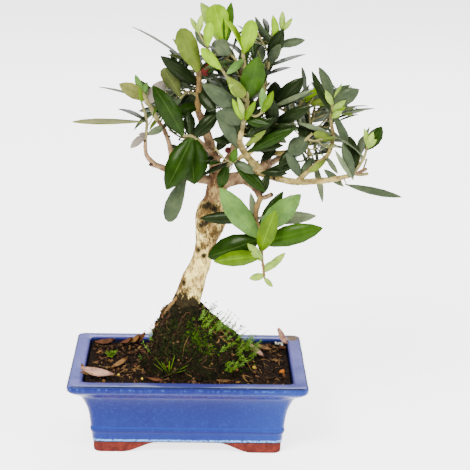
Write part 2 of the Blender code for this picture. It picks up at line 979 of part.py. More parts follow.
def tree_of(piece):
    """A search tree over a piece's faces."""
    mesh = piece.data
    verts = [vert.co.copy() for vert in mesh.vertices]
    return BVHTree.FromPolygons(verts, [tuple(face.vertices) for face in mesh.polygons])


def meshes_touch(first, second):
    """Whether the surfaces of two pieces cross."""
    return bool(tree_of(first).overlap(tree_of(second)))


def make_mound(parts, cutters, trunk_cutter):
    """The mossy mound of roots and soil round the foot of the trunk."""
    chance = random.Random(5)
    bm = bmesh.new()
    bmesh.ops.create_circle(bm, cap_ends=True, segments=MOUND_SIDES, radius=1.0)
    face = bm.faces[:][0]
    rings = [list(face.verts)]
    for _ in MOUND_RINGS[1:]:
        face = extrude_face(bm, face)
        rings.append(list(face.verts))
    for (height, middle, half_width, half_depth), verts in zip(MOUND_RINGS, rings):
        for vert in verts:
            angle = math.atan2(vert.co.y, vert.co.x)
            unevenness = MOUND_UNEVENNESS * chance.uniform(-1.0, 1.0)
            ridge = MOUND_ROUGHNESS * (math.sin(ROOT_LOBES * angle + 1.0) + unevenness)
            reach_x = half_width * MM + ridge
            reach_y = half_depth * MM + ridge
            vert.co = (middle * MM + reach_x * math.cos(angle), reach_y * math.sin(angle), height * MM)
    mound = object_from(bm, "root_mound", parts)
    boolean(mound, "DIFFERENCE", trunk_cutter)
    keep_largest(mound)
    return mound


# Foliage


class Space:
    """The pieces placed so far, so that a new one can be tested against them."""

    def __init__(self):
        self.taken = []

    def add(self, owner, tree):
        """Keep a piece's search tree under its owner's name."""
        self.taken.append((owner, tree))

    def is_free(self, tree, but_not=None):
        """Whether a tree crosses no piece, apart from the pieces of one owner."""
        for owner, other in self.taken:
            if owner != but_not and tree.overlap(other):
                return False
        return True


def leaf_width_at(t):
    """Share of the full width at a share of the length: pointed at both ends, widest past the middle."""
    power = math.log(0.5) / math.log(LEAF_WIDEST)
    return math.sin(math.pi * min(1.0, max(0.0, t)) ** power)


@dataclass(frozen=True)
class LeafFrame:
    """Where a leaf lies: its root and tip, the directions across it and out of its upper side, its width."""

    root: Vector
    tip: Vector
    across: Vector
    upper: Vector
    width: float
    bend: float

    def point(self, t, side, lift):
        """A point of the leaf: t along it, side from -1 to 1 across it, lift in metres off its middle."""
        along = self.root.lerp(self.tip, t)
        arch = self.upper * (self.bend * 4.0 * t * (1.0 - t))
        half = self.width * 0.5 * leaf_width_at(t)
        fold = self.upper * (abs(side) * half * LEAF_FOLD)
        return along + arch + self.across * (side * half) + fold + self.upper * lift


def leaf_frame(root, tip, width, facing, bend):
    """Set a leaf out from its root and tip, its upper side turned as far as it can to facing."""
    along = (tip - root).normalized()
    upper = facing - along * facing.dot(along)
    if upper.length < 0.05:
        upper = along.orthogonal()
    upper.normalize()
    across = along.cross(upper)
    sunk_root = root - along * LEAF_ROOT_DEPTH
    return LeafFrame(sunk_root, tip, across, upper, width, bend)


def leaf_bmesh(frame, rings):
    """A leaf as a thin three-sided body, pointed at both ends: flat above, with a keel under its midrib."""
    bm = bmesh.new()
    bmesh.ops.create_uvsphere(bm, u_segments=3, v_segments=rings, radius=1.0)
    for vert in bm.verts:
        t = (vert.co.z + 1.0) / 2.0
        is_end = abs(vert.co.z) > 0.999
        is_keel = vert.co.x > abs(vert.co.y)
        if is_end or is_keel:
            side = 0.0
        else:
            side = math.copysign(1.0, vert.co.y)
        lift = -LEAF_THICKNESS if is_keel else 0.0
        vert.co = frame.point(t, side, lift)
    return bm


def leaf_tree(frame, start, margin):
    """A search tree over sheets on both sides of a leaf, from a share of its length to its tip."""
    verts = []
    faces = []
    steps = 4
    for lift in (-margin, margin):
        for number in range(steps + 1):
            t = start + (1.0 - start) * number / steps
            low = len(verts)
            for side in (-1.0, 0.0, 1.0):
                verts.append(frame.point(t, side, lift) + frame.across * side * margin)
            if number:
                faces.append((low - 3, low - 2, low + 1, low))
                faces.append((low - 2, low - 1, low + 2, low + 1))
    return BVHTree.FromPolygons(verts, faces)


def twig_bmesh(places, start_radius, end_radius, start_direction=None):
    """A three-sided twig raised along its places, one ring at each."""
    bm = bmesh.new()
    bmesh.ops.create_circle(bm, cap_ends=True, segments=3, radius=1.0)
    face = bm.faces[:][0]
    rings = [list(face.verts)]
    for _ in places[1:]:
        face = extrude_face(bm, face)
        rings.append(list(face.verts))
    last = len(places) - 1
    turn = None
    for number, (place, verts) in enumerate(zip(places, rings)):
        direction = (places[min(number + 1, last)] - places[max(number - 1, 0)]).normalized()
        if number == 0 and start_direction is not None:
            direction = start_direction
        if turn is None:
            turn = direction.to_track_quat("Z", "Y")
        else:
            turn = (turn @ Vector((0.0, 0.0, 1.0))).rotation_difference(direction) @ turn
        radius = start_radius + (end_radius - start_radius) * number / last
        matrix = Matrix.Translation(place) @ turn.to_matrix().to_4x4() @ Matrix.Scale(radius, 4)
        for vert in verts:
            vert.co = matrix @ vert.co
    return bm


def point_along(places, share):
    """The point and direction at a share of the way along a route."""
    lengths = [(end - start).length for start, end in zip(places, places[1:])]
    left = sum(lengths) * min(1.0, max(0.0, share))
    for start, end, length in zip(places, places[1:], lengths):
        if left <= length or end is places[-1]:
            return start.lerp(end, min(1.0, left / length)), (end - start).normalized()
        left -= length
    return places[-1], (places[-1] - places[-2]).normalized()


def nearest_place(places, wanted):
    """The point of a route that lies nearest to a wanted point."""
    best = min(range(41), key=lambda step: (point_along(places, step / 40)[0] - wanted).length)
    return point_along(places, best / 40)[0]


class Foliage:
    """Grows one mass: its stem and shoots, its key leaves, then twigs and leaves by the seeded rule."""

    def __init__(self, mass, tip, direction, space):
        self.mass = mass
        self.tip = tip
        self.direction = direction
        self.space = space
        self.bodies = []
        self.routes = []

    def add_body(self, bm, tree):
        """Keep a body for the union and in the register of what is placed."""
        self.bodies.append(bm)
        self.space.add(self.mass.name, tree)

    def add_shoots(self):
        """The stem, a gap clear of its bough's tip, and the shoots that spring from it."""
        for number, shoot in enumerate(self.mass.shoots):
            route = [Vector(point) for point in shoot.route]
            start_direction = None
            if number == 0:
                route[0] = (self.tip + self.direction * GAP) / MM
                start_direction = self.direction
            else:
                route[0] = nearest_place(self.routes[0], route[0] * MM) / MM
            places = [row * MM for row in smooth_route(route, ROUTE_STEP)]
            body = twig_bmesh(places, shoot.radii[0] * MM, shoot.radii[1] * MM, start_direction)
            self.routes.append(places)
            self.add_body(body, BVHTree.FromBMesh(body))

    def add_key_leaves(self):
        """The leaves that the outline of the crown depends on."""
        chance = random.Random(self.mass.seed)
        for shoot, places in zip(self.mass.shoots, self.routes):
            for at, tip, width, facing in shoot.leaves:
                root, _ = point_along(places, at)
                target = Vector(tip) * MM
                bend = (target - root).length * chance.uniform(*KEY_LEAF_BEND)
                frame = leaf_frame(root, target, width * MM, facing, bend)
                if self.clears_others(frame):
                    self.add_leaf(frame, KEY_LEAF_RINGS)

    def clears_others(self, frame):
        """Whether a leaf touches no limb and no other mass."""
        return self.space.is_free(leaf_tree(frame, 0.0, CLEAR), but_not=self.mass.name)

    def clears_own(self, frame):
        """Whether a leaf's blade, past its root, touches nothing of its own mass."""
        return self.space.is_free(leaf_tree(frame, BLADE_START, CLEAR))

    def add_leaf(self, frame, rings):
        """Keep a leaf for the union and in the register."""
        self.bodies.append(leaf_bmesh(frame, rings))
        self.space.add(self.mass.name, leaf_tree(frame, BLADE_START, CLEAR))

    def try_leaf(self, frame):
        """Add a leaf of the rule where it stays in the mass's space and touches nothing."""
        if self.holds(frame.tip) and self.clears_others(frame) and self.clears_own(frame):
            self.add_leaf(frame, RULE_LEAF_RINGS)

    def holds(self, point):
        """Whether a point is inside the mass's own space."""
        low, high = self.mass.space
        inside = [low[axis] * MM <= point[axis] <= high[axis] * MM for axis in range(3)]
        return all(inside)

    def add_pair(self, root, direction, turn, length, chance):
        """Two opposite leaves at a node, spread from the shoot's direction."""
        side = direction.orthogonal().normalized()
        for half in (0.0, math.pi):
            out = Matrix.Rotation(turn + half + chance.uniform(-LEAF_TURN, LEAF_TURN), 3, direction) @ side
            spread = math.radians(chance.uniform(*RULE_LEAF_SPREAD))
            along = direction * math.cos(spread) + out * math.sin(spread)
            leaf_length = length * chance.uniform(*RULE_LEAF_LENGTH) * MM
            tip = root + along * leaf_length
            facing = direction + UP * 0.6
            width = leaf_length * chance.uniform(*RULE_LEAF_WIDTH)
            bend = leaf_length * chance.uniform(*RULE_LEAF_BEND)
            self.try_leaf(leaf_frame(root, tip, width, facing, bend))

    def add_rule_leaves(self):
        """Pairs of leaves along the shoots, each pair a quarter turn on from the last."""
        chance = random.Random(self.mass.seed + 1000)
        for places in self.routes:
            for number in range(self.mass.pairs):
                share = (number + 0.7) / (self.mass.pairs + 0.3)
                root, direction = point_along(places, share)
                turn = number * math.pi / 2 + chance.uniform(-LEAF_TURN, LEAF_TURN)
                self.add_pair(root, direction, turn, self.mass.leaf_length, chance)

    def add_rule_twigs(self):
        """Side twigs set round the shoots by the golden angle, each with two pairs and a tip leaf."""
        for number in range(self.mass.twigs):
            for attempt in range(TWIG_ATTEMPTS):
                chance = random.Random(self.mass.seed * 1000 + number * TWIG_ATTEMPTS + attempt)
                if self.try_twig(number, number + attempt, chance):
                    break

    def try_twig(self, number, turns, chance):
        """Grow one side twig where it stays in the mass's space and touches nothing."""
        places = self.routes[number % len(self.routes)]
        share = FIRST_TWIG + TWIG_STRETCH * (number + 0.5) / self.mass.twigs
        root, direction = point_along(places, share)
        turn = GOLDEN_ANGLE * turns
        side = Matrix.Rotation(turn, 3, direction) @ direction.orthogonal().normalized()
        spread = math.radians(chance.uniform(*TWIG_SPREAD))
        heading = direction * math.cos(spread) + side * math.sin(spread)
        length = chance.uniform(*TWIG_LENGTH) * MM
        middle = root + heading * length * 0.5
        end = root + heading * length + Vector((0.0, 0.0, TWIG_RISE * length))
        clear_of_root = root + heading * TWIG_RADIUS * 4.5
        fat_twig = twig_bmesh([clear_of_root, middle, end], TWIG_RADIUS + CLEAR, TWIG_RADIUS + CLEAR)
        tree = BVHTree.FromBMesh(fat_twig)
        if not self.holds(end) or not self.space.is_free(tree):
            return False
        self.add_body(twig_bmesh([root, middle, end], TWIG_RADIUS, TWIG_RADIUS * TWIG_TAPER), tree)
        end_direction = (end - middle).normalized()
        length = self.mass.leaf_length
        self.add_pair(middle, heading, turn, length, chance)
        outer_root = root.lerp(end, OUTER_PAIR)
        self.add_pair(outer_root, end_direction, turn + math.pi / 2, length * OUTER_PAIR, chance)
        tip = end + end_direction * length * TIP_LEAF_LENGTH * MM
        self.try_leaf(leaf_frame(end, tip, length * TIP_LEAF_WIDTH * MM, UP, LEAF_THICKNESS))
        return True

    def fuse(self, parts, loose):
        """Join everything into one solid with one union on a collection, and drop loose scraps."""
        pieces = [object_from(bm, self.mass.name, loose) for bm in self.bodies]
        stem = pieces[0]
        loose.objects.unlink(stem)
        parts.objects.link(stem)
        boolean(stem, "UNION", loose)
        for piece in pieces[1:]:
            bpy.data.objects.remove(piece)
        keep_largest(stem)
        return stem


def make_foliage(parts, limbs):
    """Grow every mass in its own space, key leaves first, and fuse each into one solid."""
    space = Space()
    for name, piece in limbs.items():
        space.add(name, tree_of(piece))
    masses = []
    for mass in MASSES:
        route = next(limb.route for limb in BOUGHS if limb.name == mass.carrier)
        places = [row.xyz * MM for row in smooth_route(route, ROUTE_STEP)]
        direction = (places[-1] - places[-2]).normalized()
        masses.append(Foliage(mass, places[-1], direction, space))
    for foliage in masses:
        foliage.add_shoots()
    for foliage in masses:
        foliage.add_key_leaves()
    for foliage in masses:
        foliage.add_rule_leaves()
        foliage.add_rule_twigs()
    loose = new_collection("loose_foliage")
    solids = [foliage.fuse(parts, loose) for foliage in masses]
    bpy.data.collections.remove(loose)
    return solids


def main():
    """Build the whole plant and stand it in its place."""
    for old in list(bpy.data.objects):
        bpy.data.objects.remove(old)
    parts = new_collection(PART_NAME)
    cutters = new_collection("cutters")
    glaze = new_material("blue_glaze", (0.06, 0.15, 0.42), 0.25)
    earth = new_material("dark_soil", (0.05, 0.03, 0.02), 0.95)
    moss = new_material("moss_and_roots", (0.06, 0.09, 0.02), 0.95)
    bark = new_material("pale_bark", (0.46, 0.36, 0.23), 0.85)
    leaf = new_material("olive_leaf", (0.10, 0.20, 0.05), 0.5)
    pot = make_pot(parts, cutters)
    pot.data.materials.append(glaze)
    soil = make_soil(parts)
    soil.data.materials.append(earth)
    trunk, trunk_cutter = make_trunk(parts, cutters)
    mound = make_mound(parts, cutters, trunk_cutter)
    mound.data.materials.append(moss)
    limbs = {TRUNK.name: trunk}
    limbs.update(make_boughs(parts, cutters, trunk_cutter))
    for limb in limbs.values():
        limb.data.materials.append(bark)
    for solid in make_foliage(parts, limbs):
        solid.data.materials.clear()
        solid.data.materials.append(leaf)
    plant = bpy.data.objects.new(PART_NAME, None)
    plant.location = POT_PLACE
    parts.objects.link(plant)
    for piece in parts.objects:
        if piece is not plant:
            piece.parent = plant


main()
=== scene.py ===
"""Looks of an olive bonsai in a glazed pot.

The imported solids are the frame. The pot, its soil, the root mound, the trunk, the boughs and the foliage are
modelled again over them, in the same place, with their relief and their finishes. Routes and other places are
in millimetres from the middle of the pot on the ground, +X right, +Y back, +Z up. Other lengths are in metres.
"""

import json
import logging
import math
import random
from collections.abc import Callable, Sequence
from dataclasses import dataclass, field, replace
from enum import Enum

import bmesh
import bpy
from mathutils import Matrix, Vector, noise
from mathutils.bvhtree import BVHTree

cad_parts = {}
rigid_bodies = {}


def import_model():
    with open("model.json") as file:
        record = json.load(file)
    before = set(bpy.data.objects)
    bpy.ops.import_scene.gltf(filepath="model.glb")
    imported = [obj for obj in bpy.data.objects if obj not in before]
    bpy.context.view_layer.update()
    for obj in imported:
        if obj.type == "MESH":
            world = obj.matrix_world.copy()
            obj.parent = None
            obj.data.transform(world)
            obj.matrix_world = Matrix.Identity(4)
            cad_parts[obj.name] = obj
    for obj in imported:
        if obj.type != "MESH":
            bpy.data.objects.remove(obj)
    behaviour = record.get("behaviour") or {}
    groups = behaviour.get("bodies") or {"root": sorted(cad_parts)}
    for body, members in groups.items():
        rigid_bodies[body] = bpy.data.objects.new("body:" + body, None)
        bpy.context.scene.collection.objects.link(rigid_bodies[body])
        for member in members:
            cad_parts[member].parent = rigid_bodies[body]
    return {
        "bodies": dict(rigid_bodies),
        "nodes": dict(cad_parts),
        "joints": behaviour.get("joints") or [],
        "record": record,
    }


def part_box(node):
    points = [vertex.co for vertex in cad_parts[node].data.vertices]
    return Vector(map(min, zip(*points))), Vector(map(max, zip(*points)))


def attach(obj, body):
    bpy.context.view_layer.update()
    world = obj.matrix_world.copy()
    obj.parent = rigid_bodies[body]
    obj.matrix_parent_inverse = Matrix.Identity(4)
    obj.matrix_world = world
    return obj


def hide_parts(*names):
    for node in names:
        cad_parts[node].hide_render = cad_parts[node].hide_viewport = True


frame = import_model()

LOG = logging.getLogger("olive_bonsai")
MM = 0.001
BODY = "root"

Mesh = bmesh.types.BMesh
Material = bpy.types.Material
Colour = tuple[float, float, float]
Point = tuple[float, float, float]


def linear(colour: Colour) -> tuple[float, ...]:
    """Turn a display colour, 0 to 255, into the linear colour that a shader takes, with its alpha."""
    return (*((value / 255.0) ** 2.2 for value in colour), 1.0)


def plant_place() -> Vector:
    """The middle of the pot on the ground, from its solid."""
    low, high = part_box("pot")
    return Vector(((low.x + high.x) / 2.0, (low.y + high.y) / 2.0, 0.0))


# Shader maths


def operator(operation: str, swapped: bool = False) -> Callable:
    """A method that adds a Math node to a wire.

    Args:
        operation: The node's operation.
        swapped: Whether the wire is its second value.

    Returns:
        The method.
    """

    def apply(wire: "Wire", other: "Wire | float" = 0.0) -> "Wire":
        """Work the operation on a wire and a value."""
        first, second = (other, wire) if swapped else (wire, other)
        return wire.graph.wire("ShaderNodeMath", {"operation": operation}, {0: first, 1: second})

    return apply


@dataclass
class Wire:
    """The output of a shader node, with arithmetic written as Python operators."""

    graph: "Graph"
    socket: bpy.types.NodeSocket
    __add__ = operator("ADD")
    __radd__ = operator("ADD", True)
    __sub__ = operator("SUBTRACT")
    __rsub__ = operator("SUBTRACT", True)
    __mul__ = operator("MULTIPLY")
    __rmul__ = operator("MULTIPLY", True)
    __abs__ = operator("ABSOLUTE")
    lowest = operator("MINIMUM")

    def ramp(self, low: float, high: float) -> "Wire":
        """Rise smoothly from 0 at low to 1 at high; low may be the larger."""
        inputs = {"Value": self, "From Min": low, "From Max": high}
        return self.graph.wire("ShaderNodeMapRange", {"interpolation_type": "SMOOTHSTEP"}, inputs)


class Graph:
    """A material's node tree, and the calls that add to it."""

    def __init__(self, name: str) -> None:
        """Start a material, its patterns centred on the middle of the pot.

        Args:
            name: Its name.
        """
        self.material = bpy.data.materials.new(name)
        self.material.use_nodes = True
        self.tree = self.material.node_tree
        self.shader = self.tree.nodes["Principled BSDF"]
        self.origin = plant_place()

    def node(self, kind: str, settings: dict, inputs: dict) -> bpy.types.Node:
        """Add a node.

        Args:
            kind: The node's type.
            settings: Its properties, set first.
            inputs: Values or wires, by socket.

        Returns:
            The node.
        """
        made = self.tree.nodes.new(kind)
        for name, value in settings.items():
            setattr(made, name, value)
        for name, value in inputs.items():
            self.feed(made.inputs[name], value)
        return made

    def wire(self, kind: str, settings: dict, inputs: dict, output: int | str = 0) -> Wire:
        """Add a node as the node method does, and give one of its outputs."""
        return Wire(self, self.node(kind, settings, inputs).outputs[output])

    def feed(self, socket: bpy.types.NodeSocket, value: "Wire | float | Sequence[float]") -> None:
        """Link a wire to a socket, or set its value.

        Args:
            socket: The socket.
            value: A wire, a value or a display colour.
        """
        if isinstance(value, Wire):
            self.tree.links.new(value.socket, socket)
        elif socket.type == "RGBA" and len(value) == 3:
            socket.default_value = linear(value)
        else:
            socket.default_value = value

    def place(self, stretch: Point = (1.0, 1.0, 1.0)) -> Wire:
        """Find the place on the plant, from the pot's middle.

        Args:
            stretch: Scale of each axis.

        Returns:
            The place.
        """
        shift = [-part * scale for part, scale in zip(self.origin, stretch)]
        inputs = {"Vector": self.wire("ShaderNodeTexCoord", {}, {}, "Object"), "Location": shift, "Scale": stretch}
        return self.wire("ShaderNodeMapping", {}, inputs)

    def axes(self) -> tuple[Wire, Wire, Wire]:
        """The place on the plant as three values."""
        split = self.node("ShaderNodeSeparateXYZ", {}, {0: self.place()})
        return tuple(Wire(self, output) for output in split.outputs)

    def noise(self, size: float, detail: float = 3.0, stretch: Point = (1.0, 1.0, 1.0)) -> Wire:
        """Cloudy noise, 0 to 1, with patches of a size in metres; a small stretch draws them out."""
        inputs = {"Vector": self.place(stretch), "Scale": 1.0 / size, "Detail": detail, "Roughness": 0.6}
        return self.wire("ShaderNodeTexNoise", {}, inputs)

    def near(self, point: Point, radius: float, edge: "Wire | float" = 0.0) -> Wire:
        """A mask round a point.

        Args:
            point: The point, in millimetres.
            radius: Where it has faded out, in millimetres.
            edge: Noise that pushes its edge in.

        Returns:
            1 at the point, 0 past the radius.
        """
        inputs = {0: self.place(), 1: tuple(part * MM for part in point)}
        away = self.wire("ShaderNodeVectorMath", {"operation": "DISTANCE"}, inputs, "Value")
        return (away * (1.0 / (radius * MM)) + edge).ramp(1.0, 0.45)

    def mix(self, share: Wire, first: "Wire | Colour", second: "Wire | Colour") -> Wire:
        """Blend two colours, the second as far as the share says."""
        return self.wire("ShaderNodeMix", {"data_type": "RGBA"}, {0: share, 6: first, 7: second}, 2)

    def coats(self, colour: "Wire | Colour", *coats: tuple) -> "Wire | Colour":
        """Lay coats over a colour in order.

        Args:
            colour: The colour.
            *coats: A share and a colour each.

        Returns:
            The colour on top.
        """
        for share, over in coats:
            colour = self.mix(share, colour, over)
        return colour

    def relief(self, height: Wire, depth: float) -> None:
        """Feed a height into the shader's normal through a Bump node, its depth in metres."""
        inputs = {"Height": height, "Distance": depth, "Strength": 1.0}
        self.feed(self.shader.inputs["Normal"], self.wire("ShaderNodeBump", {}, inputs))

    def dress(self, colour: "Wire | Colour", roughness: "Wire | float", **constants: float) -> Material:
        """Feed the shader and give the material.

        Args:
            colour: Base colour.
            roughness: Roughness.
            **constants: Other sockets, by name with underscores.

        Returns:
            The material.
        """
        for name, value in {"Base_Color": colour, "Roughness": roughness, **constants}.items():
            self.feed(self.shader.inputs[name.replace("_", " ")], value)
        return self.material


# Finishes


@dataclass(frozen=True)
class GlazeFinish:
    """Blue glaze, thin and pale on edges, with a painted lavender reflection on the flat rim, painted shade under
    the lip and inside the rim, painted glints on the lip, a painted highlight along the moulding and painted light
    on the lower wall and the right end.
    """

    wall: Colour = (27, 25, 85)
    # Painted light from the bright floor: the wall is lighter towards its bottom.
    low_wall: Colour = (31, 37, 100)
    # Deep blue of the glaze's streaks and groove, also used in the painted shade under the lip.
    cobalt: Colour = (29, 19, 76)
    # Violet of the painted shade under the lip.
    violet: Colour = (40, 25, 76)
    # Paler blue: the glaze's mottling and pale lip, with painted light towards the wall's right end and a painted
    # highlight along the moulding.
    light: Colour = (42, 63, 131)
    # Near white: painted glints on the lip, and a patchy pale line just above the base.
    white: Colour = (122, 182, 248)
    # The flat rim's lavender is a painted reflection, paler towards its ends, its left and its back.
    rim: Colour = (58, 60, 121)
    rim_pale: Colour = (96, 96, 159)
    edge_line: Colour = (25, 35, 40)
    # Painted shade on the inner wall between the rim and the soil.
    navy: Colour = (25, 25, 40)
    stain: Colour = (107, 86, 51)

    def material(self, pot: "GlazedPot") -> Material:
        """Build the glaze.

        Args:
            pot: The pot whose lengths it follows.

        Returns:
            The glaze.
        """
        graph = Graph("blue_glaze")
        x, y, z = graph.axes()
        inset = (pot.rim_length / 2 - abs(x)).lowest(pot.rim_depth / 2 - abs(y))
        cloud = graph.noise(0.030)
        grain = graph.noise(0.0022, 2.0)
        streak = graph.noise(0.005, 3.0, (1.0, 1.0, 0.25))
        drip = z + streak * 0.007 - 0.0035
        # Painted shade under the lip, its edge broken by the glaze's runs.
        under = drip.ramp(0.0500, 0.0535) * drip.ramp(0.0575, 0.0558)
        # Where painted glints may fall along the lip's top edge.
        painted_glints = (streak * 0.5 + grain * 0.5).ramp(0.50, 0.60) * inset.ramp(0.003, 0.002)
        low = z + streak * 0.0014 - 0.0007
        wall = graph.coats(
            self.wall,
            # Painted light from the floor, lighter towards the bottom of the wall.
            ((z + cloud * 0.02).ramp(0.062, 0.020), self.low_wall),
            (streak.ramp(0.45, 0.75) * 0.35, self.cobalt),
            # Paler mottling, with painted light towards the right end of the wall.
            (grain.ramp(0.5, 0.75) * 0.3 + (x + cloud * 0.04).ramp(0.04, 0.12) * 0.4, self.light),
            # Painted shade under the lip, in cobalt and violet.
            (under * cloud.ramp(0.38, 0.60) * 0.6, graph.mix(cloud.ramp(0.45, 0.6), self.cobalt, self.violet)),
            (z.ramp(0.0575, 0.0610) * streak.ramp(0.40, 0.66) * 0.2, self.light),
            # Painted glints on the lip.
            (z.ramp(0.0628, 0.0636) * z.ramp(0.0650, 0.0643) * painted_glints * 0.08, self.white),
            # Painted highlight along the top of the moulding; under it the groove is darker.
            (z.ramp(0.0216, 0.0224) * z.ramp(0.0240, 0.0230) * 0.55, self.light),
            (z.ramp(0.0206, 0.0200) * z.ramp(0.0176, 0.0186) * 0.6, self.cobalt),
            (low.ramp(0.0124, 0.0116) * grain.ramp(0.30, 0.56) * 0.6, self.white),
            (low.ramp(0.0106, 0.0101), self.edge_line),
        )
        # The rim's painted lavender reflection, paler towards the ends, the left and the back, with the glaze's
        # mottling, darker towards the inner edge, and a stain.
        rim = graph.coats(
            self.rim,
            ((abs(x) * 2.4 - x * 0.6 + y * 3.0 + cloud * 0.5).ramp(0.12, 0.50), self.rim_pale),
            (grain.ramp(0.45, 0.8) * 0.3, self.light),
            (inset.ramp(0.0098, 0.0122) * 0.55, self.cobalt),
            (graph.near((93.0, 60.0, 66.0), 9.0, grain - 0.5), self.stain),
        )
        on_top = z.ramp(0.0650, 0.0658) * inset.ramp(0.0134, 0.0126)
        line = inset.ramp(0.0019, 0.0013) * z.ramp(0.0653, 0.0657) * streak.ramp(0.22, 0.42)
        # Painted shade on the inner wall between the rim and the soil.
        below = z.ramp(0.0649, 0.0640) * z.ramp(0.0560, 0.0580) * inset.ramp(0.008, 0.011)
        colour = graph.coats(wall, (on_top, rim), (line * 0.9, self.edge_line), (below * 0.9, self.navy))
        graph.relief(grain * 0.3 + streak * 0.7, 0.0003)
        rough = cloud.ramp(0.3, 0.8) * 0.1 + 0.12
        return graph.dress(colour, rough, Specular_IOR_Level=0.22, Specular_Tint=(0.4, 0.65, 1.0, 1.0))


@dataclass(frozen=True)
class EarthFinish:
    """A dull finish of two tones mottled together, for clay, soil, bark chips, roots, moss and dry leaves."""

    name: str
    dark: Colour
    light: Colour
    patch: float = 0.004
    roughness: float = 0.9
    depth: float = 0.0006
    bias: float = 0.5

    def material(self) -> Material:
        """Build the finish.

        Returns:
            The finish.
        """
        graph = Graph(self.name)
        patches = graph.noise(self.patch, 4.0)
        grit = graph.noise(self.patch * 0.2, 3.0)
        share = (patches * 0.7 + grit * 0.3).ramp(self.bias - 0.14, self.bias + 0.14)
        colour = graph.mix(share, self.dark, self.light)
        graph.relief(patches * 0.5 + grit * 0.5, self.depth)
        return graph.dress(colour, self.roughness, Specular_IOR_Level=0.06)


@dataclass(frozen=True)
class BarkFinish:
    """Pale bark with ochre mottling, painted shade in its hollows, a mossy foot and a redder top."""

    cream: Colour = (250, 224, 130)
    sand: Colour = (165, 133, 83)
    ochre: Colour = (109, 85, 42)
    brown: Colour = (61, 48, 27)
    # Near black of the painted shade inside the hollows.
    pit: Colour = (25, 23, 15)
    pink: Colour = (125, 95, 68)
    red: Colour = (77, 51, 37)
    foot: Colour = (34, 30, 18)

    def material(self, hollows: "Sequence[Hollow]") -> Material:
        """Build the trunk's bark.

        Args:
            hollows: The hollows that shade is painted into.

        Returns:
            The bark.
        """
        graph = Graph("trunk_bark")
        _, _, z = graph.axes()
        broad = graph.noise(0.012, 4.0, (1.0, 1.0, 0.7))
        flecks = graph.noise(0.0042, 4.0, (1.0, 1.0, 0.6))
        grit = graph.noise(0.0013, 3.0, (1.0, 1.0, 0.7))
        middle = z.ramp(0.148, 0.172) * z.ramp(0.217, 0.206)
        # Busier mottling near the foot's left and right sides: the bark's speckles, partly painted shade at those
        # sides.
        left = graph.near((-11.0, -8.0, 134.0), 16.0, flecks - 0.5)
        right = graph.near((10.0, -6.0, 136.0), 8.0, flecks - 0.5)
        busy = (middle * 0.6 + left * 0.8 + right * 0.6 + 0.6).lowest(1.0)
        colour = graph.coats(
            self.cream,
            ((broad * 0.6 + flecks * 0.4 + busy * 0.06).ramp(0.42, 0.62), self.sand),
            ((flecks * 0.6 + broad * 0.4 + busy * 0.05).ramp(0.48, 0.61) * busy * 0.85, self.ochre),
            ((grit * 0.6 + flecks * 0.4 + busy * 0.05).ramp(0.53, 0.61) * busy * 0.8, self.brown),
            ((z + broad * 0.02 - 0.01).ramp(0.205, 0.214) * 0.75, self.pink),
            ((z + broad * 0.03 - 0.015).ramp(0.206, 0.222) * flecks.ramp(0.38, 0.54) * 0.85, self.red),
        )
        edge = flecks * 2.6 + grit * 1.2 - 1.8
        # Painted shade inside each hollow, fading through brown round it.
        for hollow in hollows:
            if hollow.depth > 0.0:
                ring = graph.near(hollow.point, hollow.radius * 2.4, edge) * 0.7
                pit = graph.near(hollow.point, hollow.radius * 1.85, edge) * 0.95
                colour = graph.coats(colour, (ring, self.brown), (pit, self.pit))
        climb = z - graph.near((-6.0, -10.0, 122.0), 17.0, flecks - 0.5) * 0.009
        stain = climb.ramp(0.146, 0.117) * (flecks * 0.5 + grit * 0.5).ramp(0.40, 0.54) * 0.85
        foot = (climb.ramp(0.131, 0.111) * 0.6 + grit * 0.3 + flecks * 0.9).ramp(0.88, 1.0)
        earth = graph.mix(grit.ramp(0.45, 0.60) * 0.5, self.foot, self.brown)
        colour = graph.coats(colour, (stain, self.brown), (foot, earth))
        graph.relief(flecks * 0.6 + grit * 0.4, 0.0009)
        return graph.dress(colour, 0.82, Specular_IOR_Level=0.1)


@dataclass(frozen=True)
class TwigFinish:
    """Smooth young bark, greyer on old wood and yellow-green towards the tips."""

    name: str
    light: Colour
    dark: Colour
    scar: Colour

    def material(self) -> Material:
        """Build the finish.

        Returns:
            The finish.
        """
        graph = Graph(self.name)
        patches = graph.noise(0.007, 4.0)
        flecks = graph.noise(0.0016, 3.0)
        colour = graph.mix(patches.ramp(0.36, 0.66), self.light, self.dark)
        colour = graph.mix((flecks * 0.7 + patches * 0.3).ramp(0.56, 0.68) * 0.8, colour, self.scar)
        graph.relief(flecks, 0.0003)
        return graph.dress(colour, 0.7, Specular_IOR_Level=0.12)


